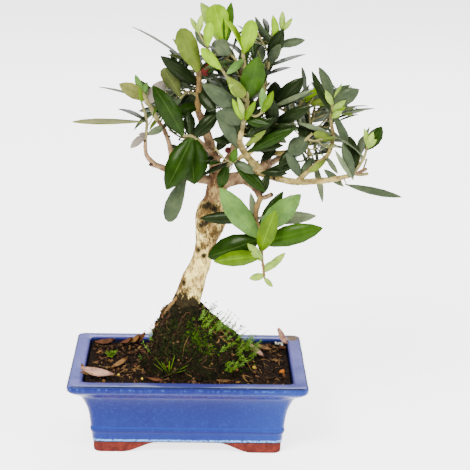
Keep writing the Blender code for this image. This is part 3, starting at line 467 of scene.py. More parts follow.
@dataclass(frozen=True)
class LeafFinish:
    """The three finishes of a leaf: its face, its back and its midrib."""

    face: Colour
    back: Colour
    rib: Colour
    gloss: float = 0.36

    def materials(self, name: str) -> list[Material]:
        """Build the three finishes.

        Args:
            name: What their names start with.

        Returns:
            Face, back and midrib.
        """
        face = self.side(f"{name}_face", self.face, self.gloss, 0.1)
        back = self.side(f"{name}_back", self.back, 0.6, 0.1)
        return [face, back, self.side(f"{name}_rib", self.rib, 0.5, 0.12)]

    def side(self, name: str, colour: Colour, gloss: float, shine: float) -> Material:
        """Build one side, a little uneven in colour, with a fine grain of veins.

        Args:
            name: Its name.
            colour: Its colour.
            gloss: Its roughness.
            shine: Strength of its shine.

        Returns:
            The finish.
        """
        graph = Graph(name)
        cloud = graph.noise(0.012, 3.0)
        veins = graph.noise(0.0014, 2.0)
        darker = [part * share for part, share in zip(linear(colour), (0.78, 0.78, 0.78, 1.0))]
        lighter = [min(1.0, part * more) for part, more in zip(linear(colour), (1.36, 1.3, 1.15, 1.0))]
        mottled = graph.mix(cloud.ramp(0.3, 0.7), darker, lighter)
        graph.relief(veins * 0.5 + cloud * 0.5, 0.0003)
        sheen = {"Coat_Weight": shine * 0.7, "Coat_Roughness": 0.22}
        return graph.dress(mottled, gloss, Specular_IOR_Level=shine, Specular_Tint=(0.55, 0.75, 0.25, 1.0), **sheen)


class Tone(Enum):
    """Colour families of the leaves, dealt out leaf by leaf or spray by spray, and their finishes."""

    DARK = LeafFinish((23, 31, 17), (50, 58, 42), (35, 43, 26))
    DEEP = LeafFinish((25, 42, 11), (50, 62, 38), (41, 57, 25))
    FRESH = LeafFinish((42, 66, 17), (60, 77, 38), (48, 71, 25))
    SPRING = LeafFinish((74, 104, 51), (78, 102, 49), (83, 115, 44), 0.28)
    LIGHT = LeafFinish((66, 91, 2), (85, 112, 7), (84, 118, 2))
    LIME = LeafFinish((102, 136, 5), (105, 140, 11), (120, 155, 3), 0.5)
    OLIVE = LeafFinish((84, 100, 38), (65, 72, 39), (84, 95, 44), 0.55)
    SAGE = LeafFinish((56, 65, 50), (62, 69, 55), (60, 70, 49))
    GREY = LeafFinish((84, 94, 72), (62, 68, 54), (77, 86, 66), 0.6)
    STRAW = LeafFinish((102, 105, 56), (68, 70, 49), (95, 93, 56), 0.6)
    YOUNG = LeafFinish((115, 141, 61), (118, 146, 64), (143, 180, 3), 0.5)
    SILVER = LeafFinish((112, 104, 98), (88, 84, 71), (112, 105, 89), 0.6)


DARK, DEEP, FRESH, SPRING, LIGHT, LIME, OLIVE, SAGE, GREY, STRAW, YOUNG, SILVER = Tone


class Facing(Enum):
    """Where the upper side of a leaf is turned."""

    FRONT = (0.0, -1.0, 0.3)
    BACK = (0.0, 1.0, 0.3)
    UP = (0.0, -0.1, 1.0)
    LEFT = (-1.0, -0.4, 0.2)
    RIGHT = (1.0, -0.4, 0.2)


# Plan of the tree


@dataclass(frozen=True)
class Limb:
    """The trunk or a bough, as a route of (x, y, z, radius)."""

    name: str
    route: tuple


@dataclass(frozen=True)
class Hollow:
    """A hollow or, with a negative depth, a bump in the trunk."""

    point: Point
    radius: float
    depth: float


@dataclass(frozen=True)
class KeyLeaf:
    """A leaf that the crown's outline depends on: where it springs from its shoot, its tip, width and look."""

    at: float
    tip: Point
    width: float
    tone: Tone
    facing: Facing = Facing.FRONT
    blunt: bool = False


@dataclass(frozen=True)
class Shoot:
    """A shoot: its route, its radius at both ends, and its key leaves as rows of KeyLeaf."""

    route: tuple
    radii: tuple
    leaves: tuple = ()


@dataclass(frozen=True)
class Mass:
    """A mass of foliage on a bough's tip, kept in a box; its shoots are rows of Shoot, the stem first."""

    name: str
    carrier: str
    space: tuple
    twigs: int
    pairs: int
    leaf_length: float
    seed: int
    fine: int
    shoots: tuple


TRUNK = Limb("trunk", (
    (-6, 0, 54, 25), (-6, 0, 66, 20.5), (-5, 0, 80, 16.8), (-4, 0, 98, 14.2), (-3, 0, 116, 12.4),
    (1, 0, 130, 10.8), (3, 0, 138, 10.4), (6, 0, 146, 9.3), (9, 0, 153, 8.7), (10.5, 0, 161, 8),
    (12, 0, 169, 8.1), (14, 0, 176, 9.2), (16, 0, 185, 11.9), (17, 0, 192, 13.2), (17, 0, 199, 12.6),
    (17.5, 0, 204, 10.9), (19.5, 0, 210, 8.6), (22, 0, 220, 8.7), (23, 0, 228, 8.6), (23.5, 0, 234, 7.2),
))

HOLLOWS = [Hollow(*row) for row in (
    ((13.5, -9, 206), 2.8, 1), ((17.5, -9.5, 206.5), 2.9, 1.3), ((20.5, -9, 205), 2.4, 0.9),
    ((9, -10, 190), 2.1, 1.1), ((11.5, -11, 192.5), 2.1, 1), ((14.5, -12, 194.5), 1.8, 0.8),
    ((8, -10, 198.5), 5.5, -0.9), ((20, -10.5, 195), 6, -0.8), ((6.7, -6.3, 167.7), 1.9, 0.5),
    ((12, -8, 163), 1.5, 0.4), ((-4.6, -6.5, 138.4), 1.6, 0.4), ((12.6, -8, 226.8), 2.4, 0.5),
    ((24, 9, 188), 4, 1.3), ((10, 8, 212), 2.6, 0.8),
)]

BOUGHS = [Limb(*row) for row in (
    ("left_leader", ((22, 1, 228, 5.6), (19, 4, 245, 4.8), (13, 8, 265, 3.8), (5, 6, 286, 2.7))),
    ("right_bough", ((24, 0, 226, 6.2), (45, -5, 232, 5.2), (58, -9, 239, 4.4), (64, -9, 244, 3.6))),
    ("right_arm", (
        (56, -9, 238, 3.2), (71, -16, 234, 2.9), (88, -22, 232, 2.6), (114, -26, 235, 2.5), (132, -26, 239, 1.7),
    )),
    ("drooping_bough", ((42, -5, 231, 3.2), (53, -18, 226, 2.9), (58, -27, 219, 2.3))),
    ("central_bough", ((57, -9, 239, 3.3), (46, -18, 253, 2.9), (40, -24, 266, 2.5), (42, -24, 279, 2.1))),
    ("right_riser", ((60, -8, 240, 3.4), (66, 0, 251, 3), (75, 8, 263, 2.5), (85, 14, 278, 1.9))),
    ("right_twig", (
        (89, -22, 233, 1.9), (106, -18, 248, 1.8), (114, -14, 254, 1.7), (118, -10, 267, 1.6),
        (116, -8, 281, 1.3),
    )),
    ("right_spur", ((67, 1, 251, 2.1), (80, -12, 255, 1.8), (88, -18, 261, 1.4))),
    ("middle_spur", ((45, -19, 254, 1.9), (51, -18, 258, 1.7), (55, -15, 264, 1.4))),
    ("fork_spur", ((45, -19, 254, 1.9), (41, -25, 253, 1.6), (38, -28, 251, 1.4))),
    ("left_arm", ((20, 0, 227, 3.8), (-1, -8, 231, 3.2), (-17, -13, 238, 2.8), (-33, -14, 244, 2.3))),
    ("left_outer_twig", ((-30, -14, 243, 1.9), (-37, -17, 252, 1.7), (-38, -18, 264, 1.4))),
    ("left_inner_twig", (
        (-18, -12, 239, 2.2), (-17, -9, 253, 2), (-22, -4, 269, 1.8), (-29, -2, 279, 1.6),
    )),
    ("left_front_twig", ((18, 4, 249, 2.1), (11, -10, 259, 1.9), (6, -18, 265, 1.6))),
    ("back_bough", ((24, 3, 229, 4.6), (34, 24, 244, 3.6), (42, 40, 260, 2.6))),
    ("back_left_bough", ((18, 5, 246, 3.1), (5, 26, 256, 2.5), (-8, 40, 268, 1.9))),
    ("back_right_bough", ((62, -7, 241, 3), (74, 20, 242, 2.5), (90, 40, 248, 1.9))),
    ("top_back_bough", ((35, 26, 246, 2.9), (42, 24, 268, 2.5), (54, 14, 289, 2.1), (60, 6, 304, 1.8))),
)]

MASSES = [Mass(*row) for row in (
    ("foliage_top_left", "left_leader", ((-34, -10, 264), (30, 50, 346)), 9, 2, 31, 11, 12, (
        (((5, 6, 287), (6, 3, 302), (6, 1, 315), (10, 0, 324)), (2.5, 2), (
            (0.8, (-10, -5, 356), 16, OLIVE), (0.55, (-26, -13, 334), 11, DARK), (0.45, (20, -11, 286), 10, DARK),
            (0.45, (-12, 14, 276), 12, DARK), (0.1, (-14, -4, 284), 9, DEEP), (0.7, (24, -8, 334), 10, DARK),
        )),
        (((6, 3, 298), (-3, 2, 302), (-10, -1, 297)), (1.1, 0.8), (
            (0.95, (-24, -6, 323), 12, OLIVE, Facing.BACK),
        )),
        (((6, 1, 315), (1, 1, 322), (-3, 0, 327)), (1, 0.8), (
            (1, (-50, 6, 355), 5, SAGE, Facing.UP),
        )),
    )),
    ("foliage_top_centre", "central_bough", ((4, -24, 268), (66, 14, 356)), 8, 3, 28, 23, 18, (
        (((42, -24, 280), (45, -22, 295), (45, -22, 309), (43, -20, 325), (41, -18, 339)), (1.9, 1.1), (
            (0.97, (48, -28, 367), 12, LIME), (0.97, (25, -28, 368), 8, LIME, Facing.RIGHT),
            (0.9, (28, -30, 323), 6, SPRING), (0.38, (53, -34, 338), 18, FRESH), (0.15, (8, -36, 316), 13, SAGE),
            (0.05, (21, -34, 293), 12, SAGE), (0.05, (31, -26, 300), 10, DARK), (0.1, (64, -30, 282), 8, DEEP),
        )),
        (((43, -19, 326), (32, -15, 336), (26, -14, 346)), (1, 0.8), (
            (1, (17, -12, 377), 17, LIME), (0.8, (6, -2, 377), 12, YOUNG), (0.95, (31, -12, 379), 8, FRESH),
            (0.6, (19, -20, 347), 12, GREY),
        )),
        (((44, -22, 298), (36, -27, 309), (27, -28, 322), (12, -29, 344), (5, -29, 356)), (1.1, 0.7), (
            (0.08, (30, -34, 315), 7, YOUNG), (0.42, (43, -36, 306), 9, OLIVE), (0.5, (7, -33, 344), 8, LIME),
            (0.8, (14, -34, 365), 8, LIME), (0.8, (2, -21, 357), 6, SAGE), (1, (-2, -29, 368), 4, YOUNG),
            (1, (7, -34, 371), 5, YOUNG),
        )),
        (((44, -22, 291), (52, -27, 288), (58, -29, 292)), (1, 0.8), (
            (1, (57, -34, 313), 6, SPRING), (1, (66, -32, 310), 6, LIGHT),
        )),
    )),
    ("foliage_top_right", "top_back_bough", ((32, -10, 286), (98, 46, 360)), 6, 3, 31, 37, 8, (
        (((60, 6, 305), (61, -2, 320), (66, -7, 338), (74, -8, 356)), (1.7, 0.8), (
            (0.5, (74, -12, 358), 11, DARK), (0.45, (71, -24, 347), 8, SAGE), (0.75, (93, 2, 347), 7, SAGE),
            (0.75, (51, -2, 366), 8, SAGE, Facing.LEFT), (0.8, (65, -12, 369), 6, LIME),
            (0.98, (73, -9, 372), 5, YOUNG), (1, (81, -13, 367), 4, YOUNG),
            (0.4, (94, 4, 335), 9, SAGE, Facing.UP), (0.25, (82, 2, 324), 9, DARK, Facing.UP),
        )),
    )),
    ("foliage_right_upper", "right_riser", ((64, -10, 258), (124, 52, 328)), 9, 3, 29, 41, 16, (
        (((85, 14, 279), (90, 16, 286), (95, 16, 294)), (1.6, 1), (
            (0.9, (115, 4, 296), 9, OLIVE), (0.8, (113, -2, 313), 6, LIME),
            (1, (92, 18, 322), 9, SAGE, Facing.RIGHT),
        )),
        (((86, 14, 280), (76, 9, 287), (67, 3, 290)), (1.1, 0.8), (
            (0.95, (92, -6, 317), 14, DARK), (0.9, (70, 20, 309), 12, DARK), (1, (99, -16, 309), 4, GREY),
        )),
    )),
    ("foliage_right_top", "right_twig", ((98, -10, 262), (152, 32, 320)), 5, 2, 27, 53, 6, (
        (((116, -8, 282), (116, -8, 290), (118, -8, 299)), (1.3, 0.8), (
            (0.9, (105, 0, 325), 8, SAGE), (0.7, (138, -12, 309), 12, SAGE),
            (0.25, (152, -6, 292), 5, GREY, Facing.UP), (1, (124, -8, 313), 3, YOUNG),
            (0.5, (136, -17, 245), 7, SAGE), (0.4, (97, -22, 260), 9, OLIVE), (0.45, (127, -14, 300), 5, YOUNG),
            (0.75, (110, -14, 308), 5, YOUNG),
        )),
    )),
    ("foliage_right_tip", "right_arm", ((114, -28, 222), (170, 22, 284)), 4, 2, 27, 67, 0, (
        (((133, -26, 239), (138, -26, 246), (143, -26, 255), (145, -26, 264)), (1.5, 0.8), (
            (0.9, (157, -22, 280), 11, DEEP), (0.98, (149, -31, 277), 5, YOUNG), (1, (142, -26, 279), 4, YOUNG),
            (0.95, (152, -31, 271), 4, YOUNG), (0.6, (123, -33, 270), 8, GREY, Facing.UP),
            (0.1, (131, -20, 271), 13, DARK),
        )),
        (((134, -26, 240), (141, -26, 240), (147, -26, 241)), (1.3, 1.1)),
    )),
    ("foliage_right_middle", "right_spur", ((70, -34, 240), (128, 38, 286)), 8, 3, 28, 71, 14, (
        (((88, -18, 262), (94, -20, 267), (100, -20, 273)), (1.3, 0.9), (
            (0.6, (80, -27, 257), 14, SAGE), (0.2, (72, -26, 246), 9, DARK), (0.5, (96, -4, 279), 13, DARK),
        )),
        (((92, -19, 265), (97, -14, 259), (101, -13, 252)), (1, 0.8), (
            (1, (111, -12, 212), 5, GREY),
        )),
    )),
    ("foliage_middle", "middle_spur", ((24, -30, 248), (90, 26, 302)), 8, 3, 28, 83, 26, (
        (((55, -15, 265), (62, -13, 272), (70, -11, 281)), (1.3, 0.9), (
            (0.1, (86, -27, 281), 12, DARK), (0.95, (46, -29, 272), 11, DARK), (0.6, (78, -26, 266), 6, GREY),
            (0.8, (65, -24, 303), 11, DARK), (0.3, (30, -14, 276), 10, DARK), (0.95, (98, -22, 296), 10, DARK),
        )),
    )),
    ("foliage_pendant", "drooping_bough", ((40, -30, 176), (84, 6, 214)), 0, 0, 26, 97, 0, (
        ((
            (58, -27, 218), (55, -28, 210), (55, -28, 201), (57, -29, 192), (60, -31, 172), (63, -32, 151),
        ), (2.1, 0.7), (
            (0.5, (24, -38, 230), 17, SPRING), (0.5, (15, -25, 167), 21, DEEP), (0.72, (20, -56, 172), 12, LIGHT),
            (0.78, (48, -36, 182), 7, YOUNG), (0.66, (70, -47, 214), 14, LIGHT),
            (0.57, (110, -38, 197), 16, FRESH), (0.42, (91, -36, 225), 17, SPRING),
            (0.38, (77, -23, 224), 9, DEEP), (0.25, (106, -14, 201), 10, GREY), (0.38, (50, -21, 222), 6, GREY),
            (0.22, (8, -23, 200), 10, DARK), (0.96, (50, -34, 151), 6, YOUNG), (0.9, (72, -36, 167), 6, YOUNG),
            (0.92, (80, -30, 173), 6, YOUNG), (1, (70, -34, 144), 4, YOUNG),
        )),
    )),
    ("foliage_left_front", "left_front_twig", ((-26, -18, 248), (30, 6, 294)), 3, 2, 24, 101, 8, (
        (((6, -18, 266), (0, -19, 269), (-7, -19, 269)), (1.4, 0.9), (
            (0.45, (-20, -32, 226), 19, DEEP), (0.4, (3, -28, 230), 23, DEEP), (1, (-32, -26, 312), 15, DEEP),
            (0.3, (22, -16, 288), 11, DARK), (0.6, (-3, -8, 288), 9, DARK),
        )),
        (((4, -18, 267), (2, -14, 254), (-3, -16, 236)), (1, 0.8), (
            (1, (-18.5, -24, 196.5), 13, SAGE, Facing.FRONT, True),
        )),
    )),
    ("foliage_fork", "fork_spur", ((8, -40, 224), (66, -24, 266)), 1, 1, 22, 107, 5, (
        (((37, -28, 251), (33, -31, 250), (29, -32, 247)), (1.2, 0.9), (
            (0.6, (10, -37, 240), 9, DARK, Facing.UP), (0.2, (52, -37, 242), 7, SAGE),
            (0.5, (37, -36, 263), 6, FRESH), (0.9, (24, -33, 228), 9, DEEP), (0.3, (62, -35, 226), 9, DEEP),
        )),
    )),
    ("foliage_left_inner", "left_inner_twig", ((-66, -4, 268), (-12, 42, 322)), 4, 2, 25, 109, 7, (
        (((-29, -2, 280), (-33, -2, 287), (-37, -3, 294), (-41, -4, 302)), (1.6, 1.3), (
            (0.75, (-60, -11, 310), 11, STRAW), (0.7, (-78, 8, 304), 5, GREY, Facing.UP),
            (1, (-47, -5, 317), 5, SPRING), (0.95, (-37, -6, 311), 4, SPRING), (0.6, (-23, 4, 311), 11, SILVER),
        )),
    )),
    ("foliage_left_outer", "left_outer_twig", ((-70, -34, 256), (-24, 16, 300)), 1, 0, 24, 113, 1, (
        (((-38, -18, 265), (-37, -16, 280), (-41, -16, 295)), (1.3, 0.8), (
            (0.5, (-98, -22, 280), 13, STRAW, Facing.UP), (0.5, (-61, -10, 289), 8, DARK, Facing.UP),
            (1, (-43, -18, 309), 3, LIGHT), (0.15, (-50, -24, 259), 6, SILVER),
            (0.15, (-43, -25, 271), 4, SILVER), (0.15, (-24, -10, 274), 6, GREY),
        )),
    )),
    ("foliage_back", "back_bough", ((6, 18, 246), (84, 84, 350)), 9, 4, 36, 127, 26, (
        (((42, 40, 261), (44, 46, 276), (44, 48, 296), (40, 46, 314)), (2.2, 1)),
    )),
    ("foliage_back_left", "back_left_bough", ((-66, 10, 244), (6, 80, 340)), 9, 4, 34, 131, 22, (
        (((-8, 40, 269), (-16, 46, 280), (-22, 46, 296), (-24, 42, 310)), (1.7, 0.9)),
    )),
    ("foliage_back_right", "back_right_bough", ((72, 8, 224), (154, 78, 322)), 9, 4, 34, 139, 16, (
        (((90, 40, 249), (98, 44, 258), (104, 44, 272), (106, 40, 288)), (1.7, 0.9)),
    )),
)]

# Leaves that spring from old wood in the middle of the crown: root, tip, width and tone
WOOD_LEAVES = {
    "foliage_middle": (
        ((38, -24, 261), (20, -31, 292), 10, SAGE), ((40, -24, 266), (31, -26, 291), 8, DARK),
        ((32, -20, 264), (18, -24, 268), 6, DARK), ((46, -23, 272), (69, -28, 287), 8, DARK),
        ((48, -22, 257), (85, -32, 279), 9, DEEP), ((45, -24, 263), (61, -30, 277), 5, OLIVE),
        ((48, -22, 258), (76, -27, 264), 7, DARK), ((46, -22, 277), (58, -16, 293), 7, DARK),
        ((53, -14, 236), (59, -20, 219), 8, DEEP), ((64, -18, 237), (59, -24, 221), 7, DARK),
        ((63, -16, 239), (86, -22, 246), 7, DARK), ((59, -16, 238), (80, -22, 239), 6, DARK),
        ((56, -12, 247), (41, -18, 238), 6, GREY), ((59, -10, 247), (71, -4, 257), 7, DARK),
        ((91, -21, 236), (78, -28, 258), 8, SAGE), ((91, -21, 236), (101, -14, 251), 7, SAGE),
        ((22, -2, 254), (30, 0, 268), 8, DARK), ((18, -2, 247), (4, -12, 243), 7, DARK),
    ),
    "foliage_right_tip": (
        ((134, -27, 237), (124, -30, 267), 8, SAGE), ((129, -29, 232), (175, -33, 223), 6, SAGE),
        ((134, -28, 237), (118, -34, 262), 4, GREY), ((126, -24, 230), (110, -26, 244), 6, SAGE),
        ((112, -18, 250), (98, -22, 240), 5, OLIVE), ((113, -16, 252), (122, -24, 240), 4, GREY),
        ((118, -12, 266), (101, -20, 273), 7, OLIVE), ((116, -12, 271), (88, -16, 281), 4, GREY),
    ),
    "foliage_right_top": (
        ((115, -10, 290), (99, -2, 322), 6, DARK), ((117, -10, 287), (127, -6, 294), 5, LIME),
        ((117, -11, 285), (124, -16, 291), 5, YOUNG),
    ),
    "foliage_top_centre": (
        ((42, -24, 284), (33, -32, 303), 5, LIME), ((43, -25, 286), (37, -33, 305), 4, YOUNG),
        ((44, -25, 284), (52, -33, 302), 5, LIGHT), ((44, -24, 290), (24, -30, 299), 6, SAGE),
    ),
}

# Mesh helpers


def ring_stack(bm: Mesh, count: int) -> list[list[bmesh.types.BMVert]]:
    """Extrude the one face of a mesh in place over and over.

    Args:
        bm: The mesh.
        count: How many rings.

    Returns:
        The vertices of every ring.
    """
    face = bm.faces[:][0]
    rings = [face.verts[:]]
    for _ in range(count - 1):
        made = bmesh.ops.extrude_face_region(bm, geom=[face, *face.edges, *face.verts])
        face = next(item for item in made["geom"] if isinstance(item, bmesh.types.BMFace))
        rings.append(face.verts[:])
    return rings


def uneven(point: Vector, size: float, layers: int = 3) -> float:
    """Rough noise of about -1 to 1 with patches of a size in metres."""
    return noise.fractal(point / size, 1.0, 2.0, layers)


def smooth_route(points: Sequence, step: float) -> list[Vector]:
    """Read a smooth curve through points in millimetres; extra values are blended too.

    Args:
        points: The points.
        step: About how far apart the new points are.

    Returns:
        The new points.
    """
    rows = [Vector(point) for point in points]
    rows = [rows[0] * 2 - rows[1], *rows, rows[-1] * 2 - rows[-2]]
    smooth = []
    for before, start, end, after in zip(rows, rows[1:], rows[2:], rows[3:]):
        pieces = max(1, round((end.xyz - start.xyz).length / step))
        for number in range(pieces):
            t = number / pieces
            linear = start * 2 + (end - before) * t
            square = (before * 2 - start * 5 + end * 4 - after) * t * t
            cube = (start * 3 - before - end * 3 + after) * t * t * t
            smooth.append(0.5 * (linear + square + cube))
    return [*smooth, rows[-2]]


def flat(point: Sequence[float]) -> Vector:
    """A place given in millimetres, in metres."""
    return Vector(point) * MM


def curve(points: Sequence, step: float) -> list[Vector]:
    """The points of a smooth route, in metres."""
    return [row.xyz * MM for row in smooth_route(points, step)]


def thickness(points: Sequence, step: float) -> list[float]:
    """The radii along a smooth route, in metres."""
    return [row.w * MM for row in smooth_route(points, step)]


def bearing(angle: float, rise: float = 0.0) -> Vector:
    """The direction that an angle round the pot's middle points in, with a rise."""
    return Vector((math.cos(angle), math.sin(angle), rise))


def between(low: float, value: float, high: float) -> float:
    """A value kept between two bounds."""
    return min(high, max(low, value))


def tube(places: Sequence[Vector], radii: Sequence[float], sides: int) -> Mesh:
    """A closed tube with a ring at each place.

    Args:
        places: The rings' middles.
        radii: The rings' radii.
        sides: How many sides it has.

    Returns:
        The tube.
    """
    bm = bmesh.new()
    bmesh.ops.create_circle(bm, cap_ends=True, segments=sides, radius=1.0)
    turn = None
    for number, verts in enumerate(ring_stack(bm, len(places))):
        direction = (places[min(number + 1, len(places) - 1)] - places[max(number - 1, 0)]).normalized()
        if turn is None:
            turn = direction.to_track_quat("Z", "Y")
        else:
            turn = (turn @ Vector((0.0, 0.0, 1.0))).rotation_difference(direction) @ turn
        scale = Matrix.Scale(radii[number], 4)
        matrix = Matrix.Translation(places[number]) @ turn.to_matrix().to_4x4() @ scale
        for vert in verts:
            vert.co = matrix @ vert.co
    return bm


def set_material(bm: Mesh, number: int) -> Mesh:
    """Give every face of a mesh one finish.

    Args:
        bm: The mesh.
        number: The finish's number in its piece.

    Returns:
        The same mesh.
    """
    for face in bm.faces:
        face.material_index = number
    return bm


def gather(target: Mesh, bm: Mesh) -> None:
    """Move a mesh into another.

    Args:
        target: The mesh that takes it up.
        bm: The mesh, freed afterwards.
    """
    mesh = bpy.data.meshes.new("gathered")
    bm.to_mesh(mesh)
    bm.free()
    target.from_mesh(mesh)
    bpy.data.meshes.remove(mesh)


class Stamp:
    """A small mesh that is set into a piece over and over."""

    def __init__(self, bm: Mesh) -> None:
        """Keep a small mesh.

        Args:
            bm: The mesh, freed afterwards.
        """
        self.mesh = bpy.data.meshes.new("stamp")
        bm.to_mesh(self.mesh)
        bm.free()

    def press(self, target: Mesh, shape: Callable[[Vector], Vector], material: int | None = None) -> None:
        """Add the small mesh to a piece.

        Args:
            target: The piece's mesh.
            shape: Gives the place of each of its points.
            material: The number of its finish, or None to keep its own.
        """
        first_vert = len(target.verts)
        first_face = len(target.faces)
        target.from_mesh(self.mesh)
        for vert in target.verts[first_vert:]:
            vert.co = shape(vert.co)
        if material is not None:
            for face in target.faces[first_face:]:
                face.material_index = material


def put(name: str, data: bpy.types.ID) -> bpy.types.Object:
    """Put something into the scene.

    Args:
        name: Its name.
        data: A mesh, a lamp or a camera.

    Returns:
        The new object.
    """
    thing = bpy.data.objects.new(name, data)
    bpy.context.scene.collection.objects.link(thing)
    return thing


def make_piece(
    bm: Mesh, name: str, materials: Sequence[Material], nodes: Sequence[str] = (), sharp: float = 180.0
) -> None:
    """Turn a mesh, made round the pot's middle, into a finished piece of the plant.

    Args:
        bm: The mesh.
        name: The piece's name.
        materials: Its finishes, by number.
        nodes: The solids that it stands for.
        sharp: Edges that fold by more degrees stay sharp.
    """
    bmesh.ops.translate(bm, vec=plant_place(), verts=bm.verts)
    bmesh.ops.recalc_face_normals(bm, faces=bm.faces)
    for face in bm.faces:
        face.smooth = True
    for edge in bm.edges if sharp < 180.0 else ():
        edge.smooth = edge.calc_face_angle(0.0) < math.radians(sharp)
    mesh = bpy.data.meshes.new(name)
    bm.to_mesh(mesh)
    bm.free()
    for material in materials:
        mesh.materials.append(material)
    piece = put(name, mesh)
    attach(piece, BODY)
    if nodes:
        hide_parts(*nodes)
    LOG.info("%s: %d triangles", name, sum(len(face.vertices) - 2 for face in mesh.polygons))


# Pot


@dataclass
class GlazedPot:
    """A rectangular pot with a flat rim, a moulding at its base and four bracket feet."""

    rim_length: float = 0.202
    rim_depth: float = 0.140
    corner: float = 0.0060
    corner_segments: int = 6
    side_cuts: int = 13
    waviness: float = 0.00022
    foot_inset: float = 0.0212
    foot_wall: float = 0.012
    foot_top: float = 0.0100
    foot_edge: float = 0.0008
    arch_top: float = 0.0088
    sole_front: float = 0.024
    sole_side: float = 0.014
    curve_front: float = 0.031
    curve_side: float = 0.015
    foot_cuts: int = 46
    wall: tuple = (
        (30, 9.4), (20.9, 9.4), (20.3, 9.5), (20, 10.2), (19.6, 16), (19.1, 18), (18.6, 18.8), (18.3, 19.8),
        (18.2, 21.2), (18.3, 22.2), (18.7, 23), (18.8, 23.8), (18.3, 27.5), (17.5, 34.2), (16.1, 40.5),
        (14, 46.2), (11.9, 51), (9.6, 54.2), (6.6, 56.2), (3.9, 57.8), (1.8, 59.3), (0.6, 60.8), (0.1, 62.2),
        (0, 64.2), (0.2, 65.3), (0.8, 66.1), (1.7, 66.5), (3.5, 66.6), (7, 66.5), (10.6, 66.5), (11.7, 66.2),
        (12.4, 65.4), (12.8, 63.5), (13.7, 60), (14.6, 56),
    )

    def outline(self, cuts: int) -> Mesh:
        """A rounded rectangle the size of the rim.

        Args:
            cuts: How often its sides are cut.

        Returns:
            The outline, as one face.
        """
        bm = bmesh.new()
        bmesh.ops.create_grid(bm, x_segments=1, y_segments=1, size=1.0)
        bmesh.ops.scale(bm, vec=(self.rim_length / 2, self.rim_depth / 2, 1.0), verts=bm.verts)
        shape = {"offset": self.corner, "segments": self.corner_segments, "profile": 0.5}
        bmesh.ops.bevel(bm, geom=bm.verts[:], affect="VERTICES", material=-1, **shape)
        sides = [edge for edge in bm.edges if edge.calc_length() > self.corner * 2]
        bmesh.ops.subdivide_edges(bm, edges=sides, cuts=cuts)
        return bm

    def at_inset(self, point: Vector, inset: float, height: float) -> Vector:
        """Move a point of the outline in, its corner as round as before.

        Args:
            point: A point of the outline.
            inset: How far in.
            height: How high.

        Returns:
            The point.
        """
        moved = []
        for value, size in ((point.x, self.rim_length), (point.y, self.rim_depth)):
            straight = size / 2 - self.corner
            if abs(value) <= straight:
                moved.append(value * (straight - inset) / straight)
            else:
                moved.append(math.copysign(abs(value) - inset, value))
        return Vector((*moved, height))

    def bowl(self) -> Mesh:
        """The glazed body, from its base over the rim and down inside to below the soil.

        Returns:
            The body.
        """
        bm = self.outline(self.side_cuts)
        for (inset, height), verts in zip(self.wall, ring_stack(bm, len(self.wall))):
            for vert in verts:
                vert.co = self.at_inset(vert.co, inset * MM, height * MM)
        bm.normal_update()
        for vert in bm.verts:
            vert.co += vert.normal * uneven(vert.co, 0.022, 2) * self.waviness
        return bm

    def arch(self, point: Vector) -> float:
        """The feet's lower edge, flat at the corners with a curve up to the arch between them.

        Args:
            point: A point of the outline.

        Returns:
            The edge's height there.
        """
        sides = (
            (point.x, self.rim_length / 2 - self.foot_inset, self.sole_front, self.curve_front),
            (point.y, self.rim_depth / 2 - self.foot_inset, self.sole_side, self.curve_side),
        )
        shares = [between(0.0, (half - abs(value) - sole) / curve, 1.0) for value, half, sole, curve in sides]
        return max(self.arch_top * 0.5 * (1.0 - math.cos(math.pi * share)) for share in shares)

    def feet(self) -> Mesh:
        """The bare clay under the base, cut away in four arches that leave a foot at every corner.

        Returns:
            The feet.
        """
        bm = self.outline(self.foot_cuts)
        outer = self.foot_inset
        inner = self.foot_inset + self.foot_wall
        edge = self.foot_edge
        profile = ((outer - 0.0004, None), (outer, edge), (outer + edge, 0.0))
        profile += ((inner - edge, 0.0), (inner, edge), (inner + 0.0003, None))
        for (inset, lift), verts in zip(profile, ring_stack(bm, len(profile))):
            for vert in verts:
                place = self.at_inset(vert.co, inset, 0.0)
                place.z = self.foot_top if lift is None else min(self.foot_top, self.arch(place) + lift)
                vert.co = place
        for vert in verts:
            vert.co.z = 0.0093
        return bm

    def build(self) -> None:
        """Build the pot's two pieces, its glazed body and its feet."""
        glaze = GlazeFinish().material(self)
        clay = EarthFinish("bare_clay", (71, 33, 29), (102, 44, 37), 0.006, 0.8, 0.0003)
        make_piece(self.bowl(), "glazed_pot", [glaze], ("pot",), 65.0)
        make_piece(self.feet(), "clay_feet", [clay.material()], (), 40.0)


# Soil


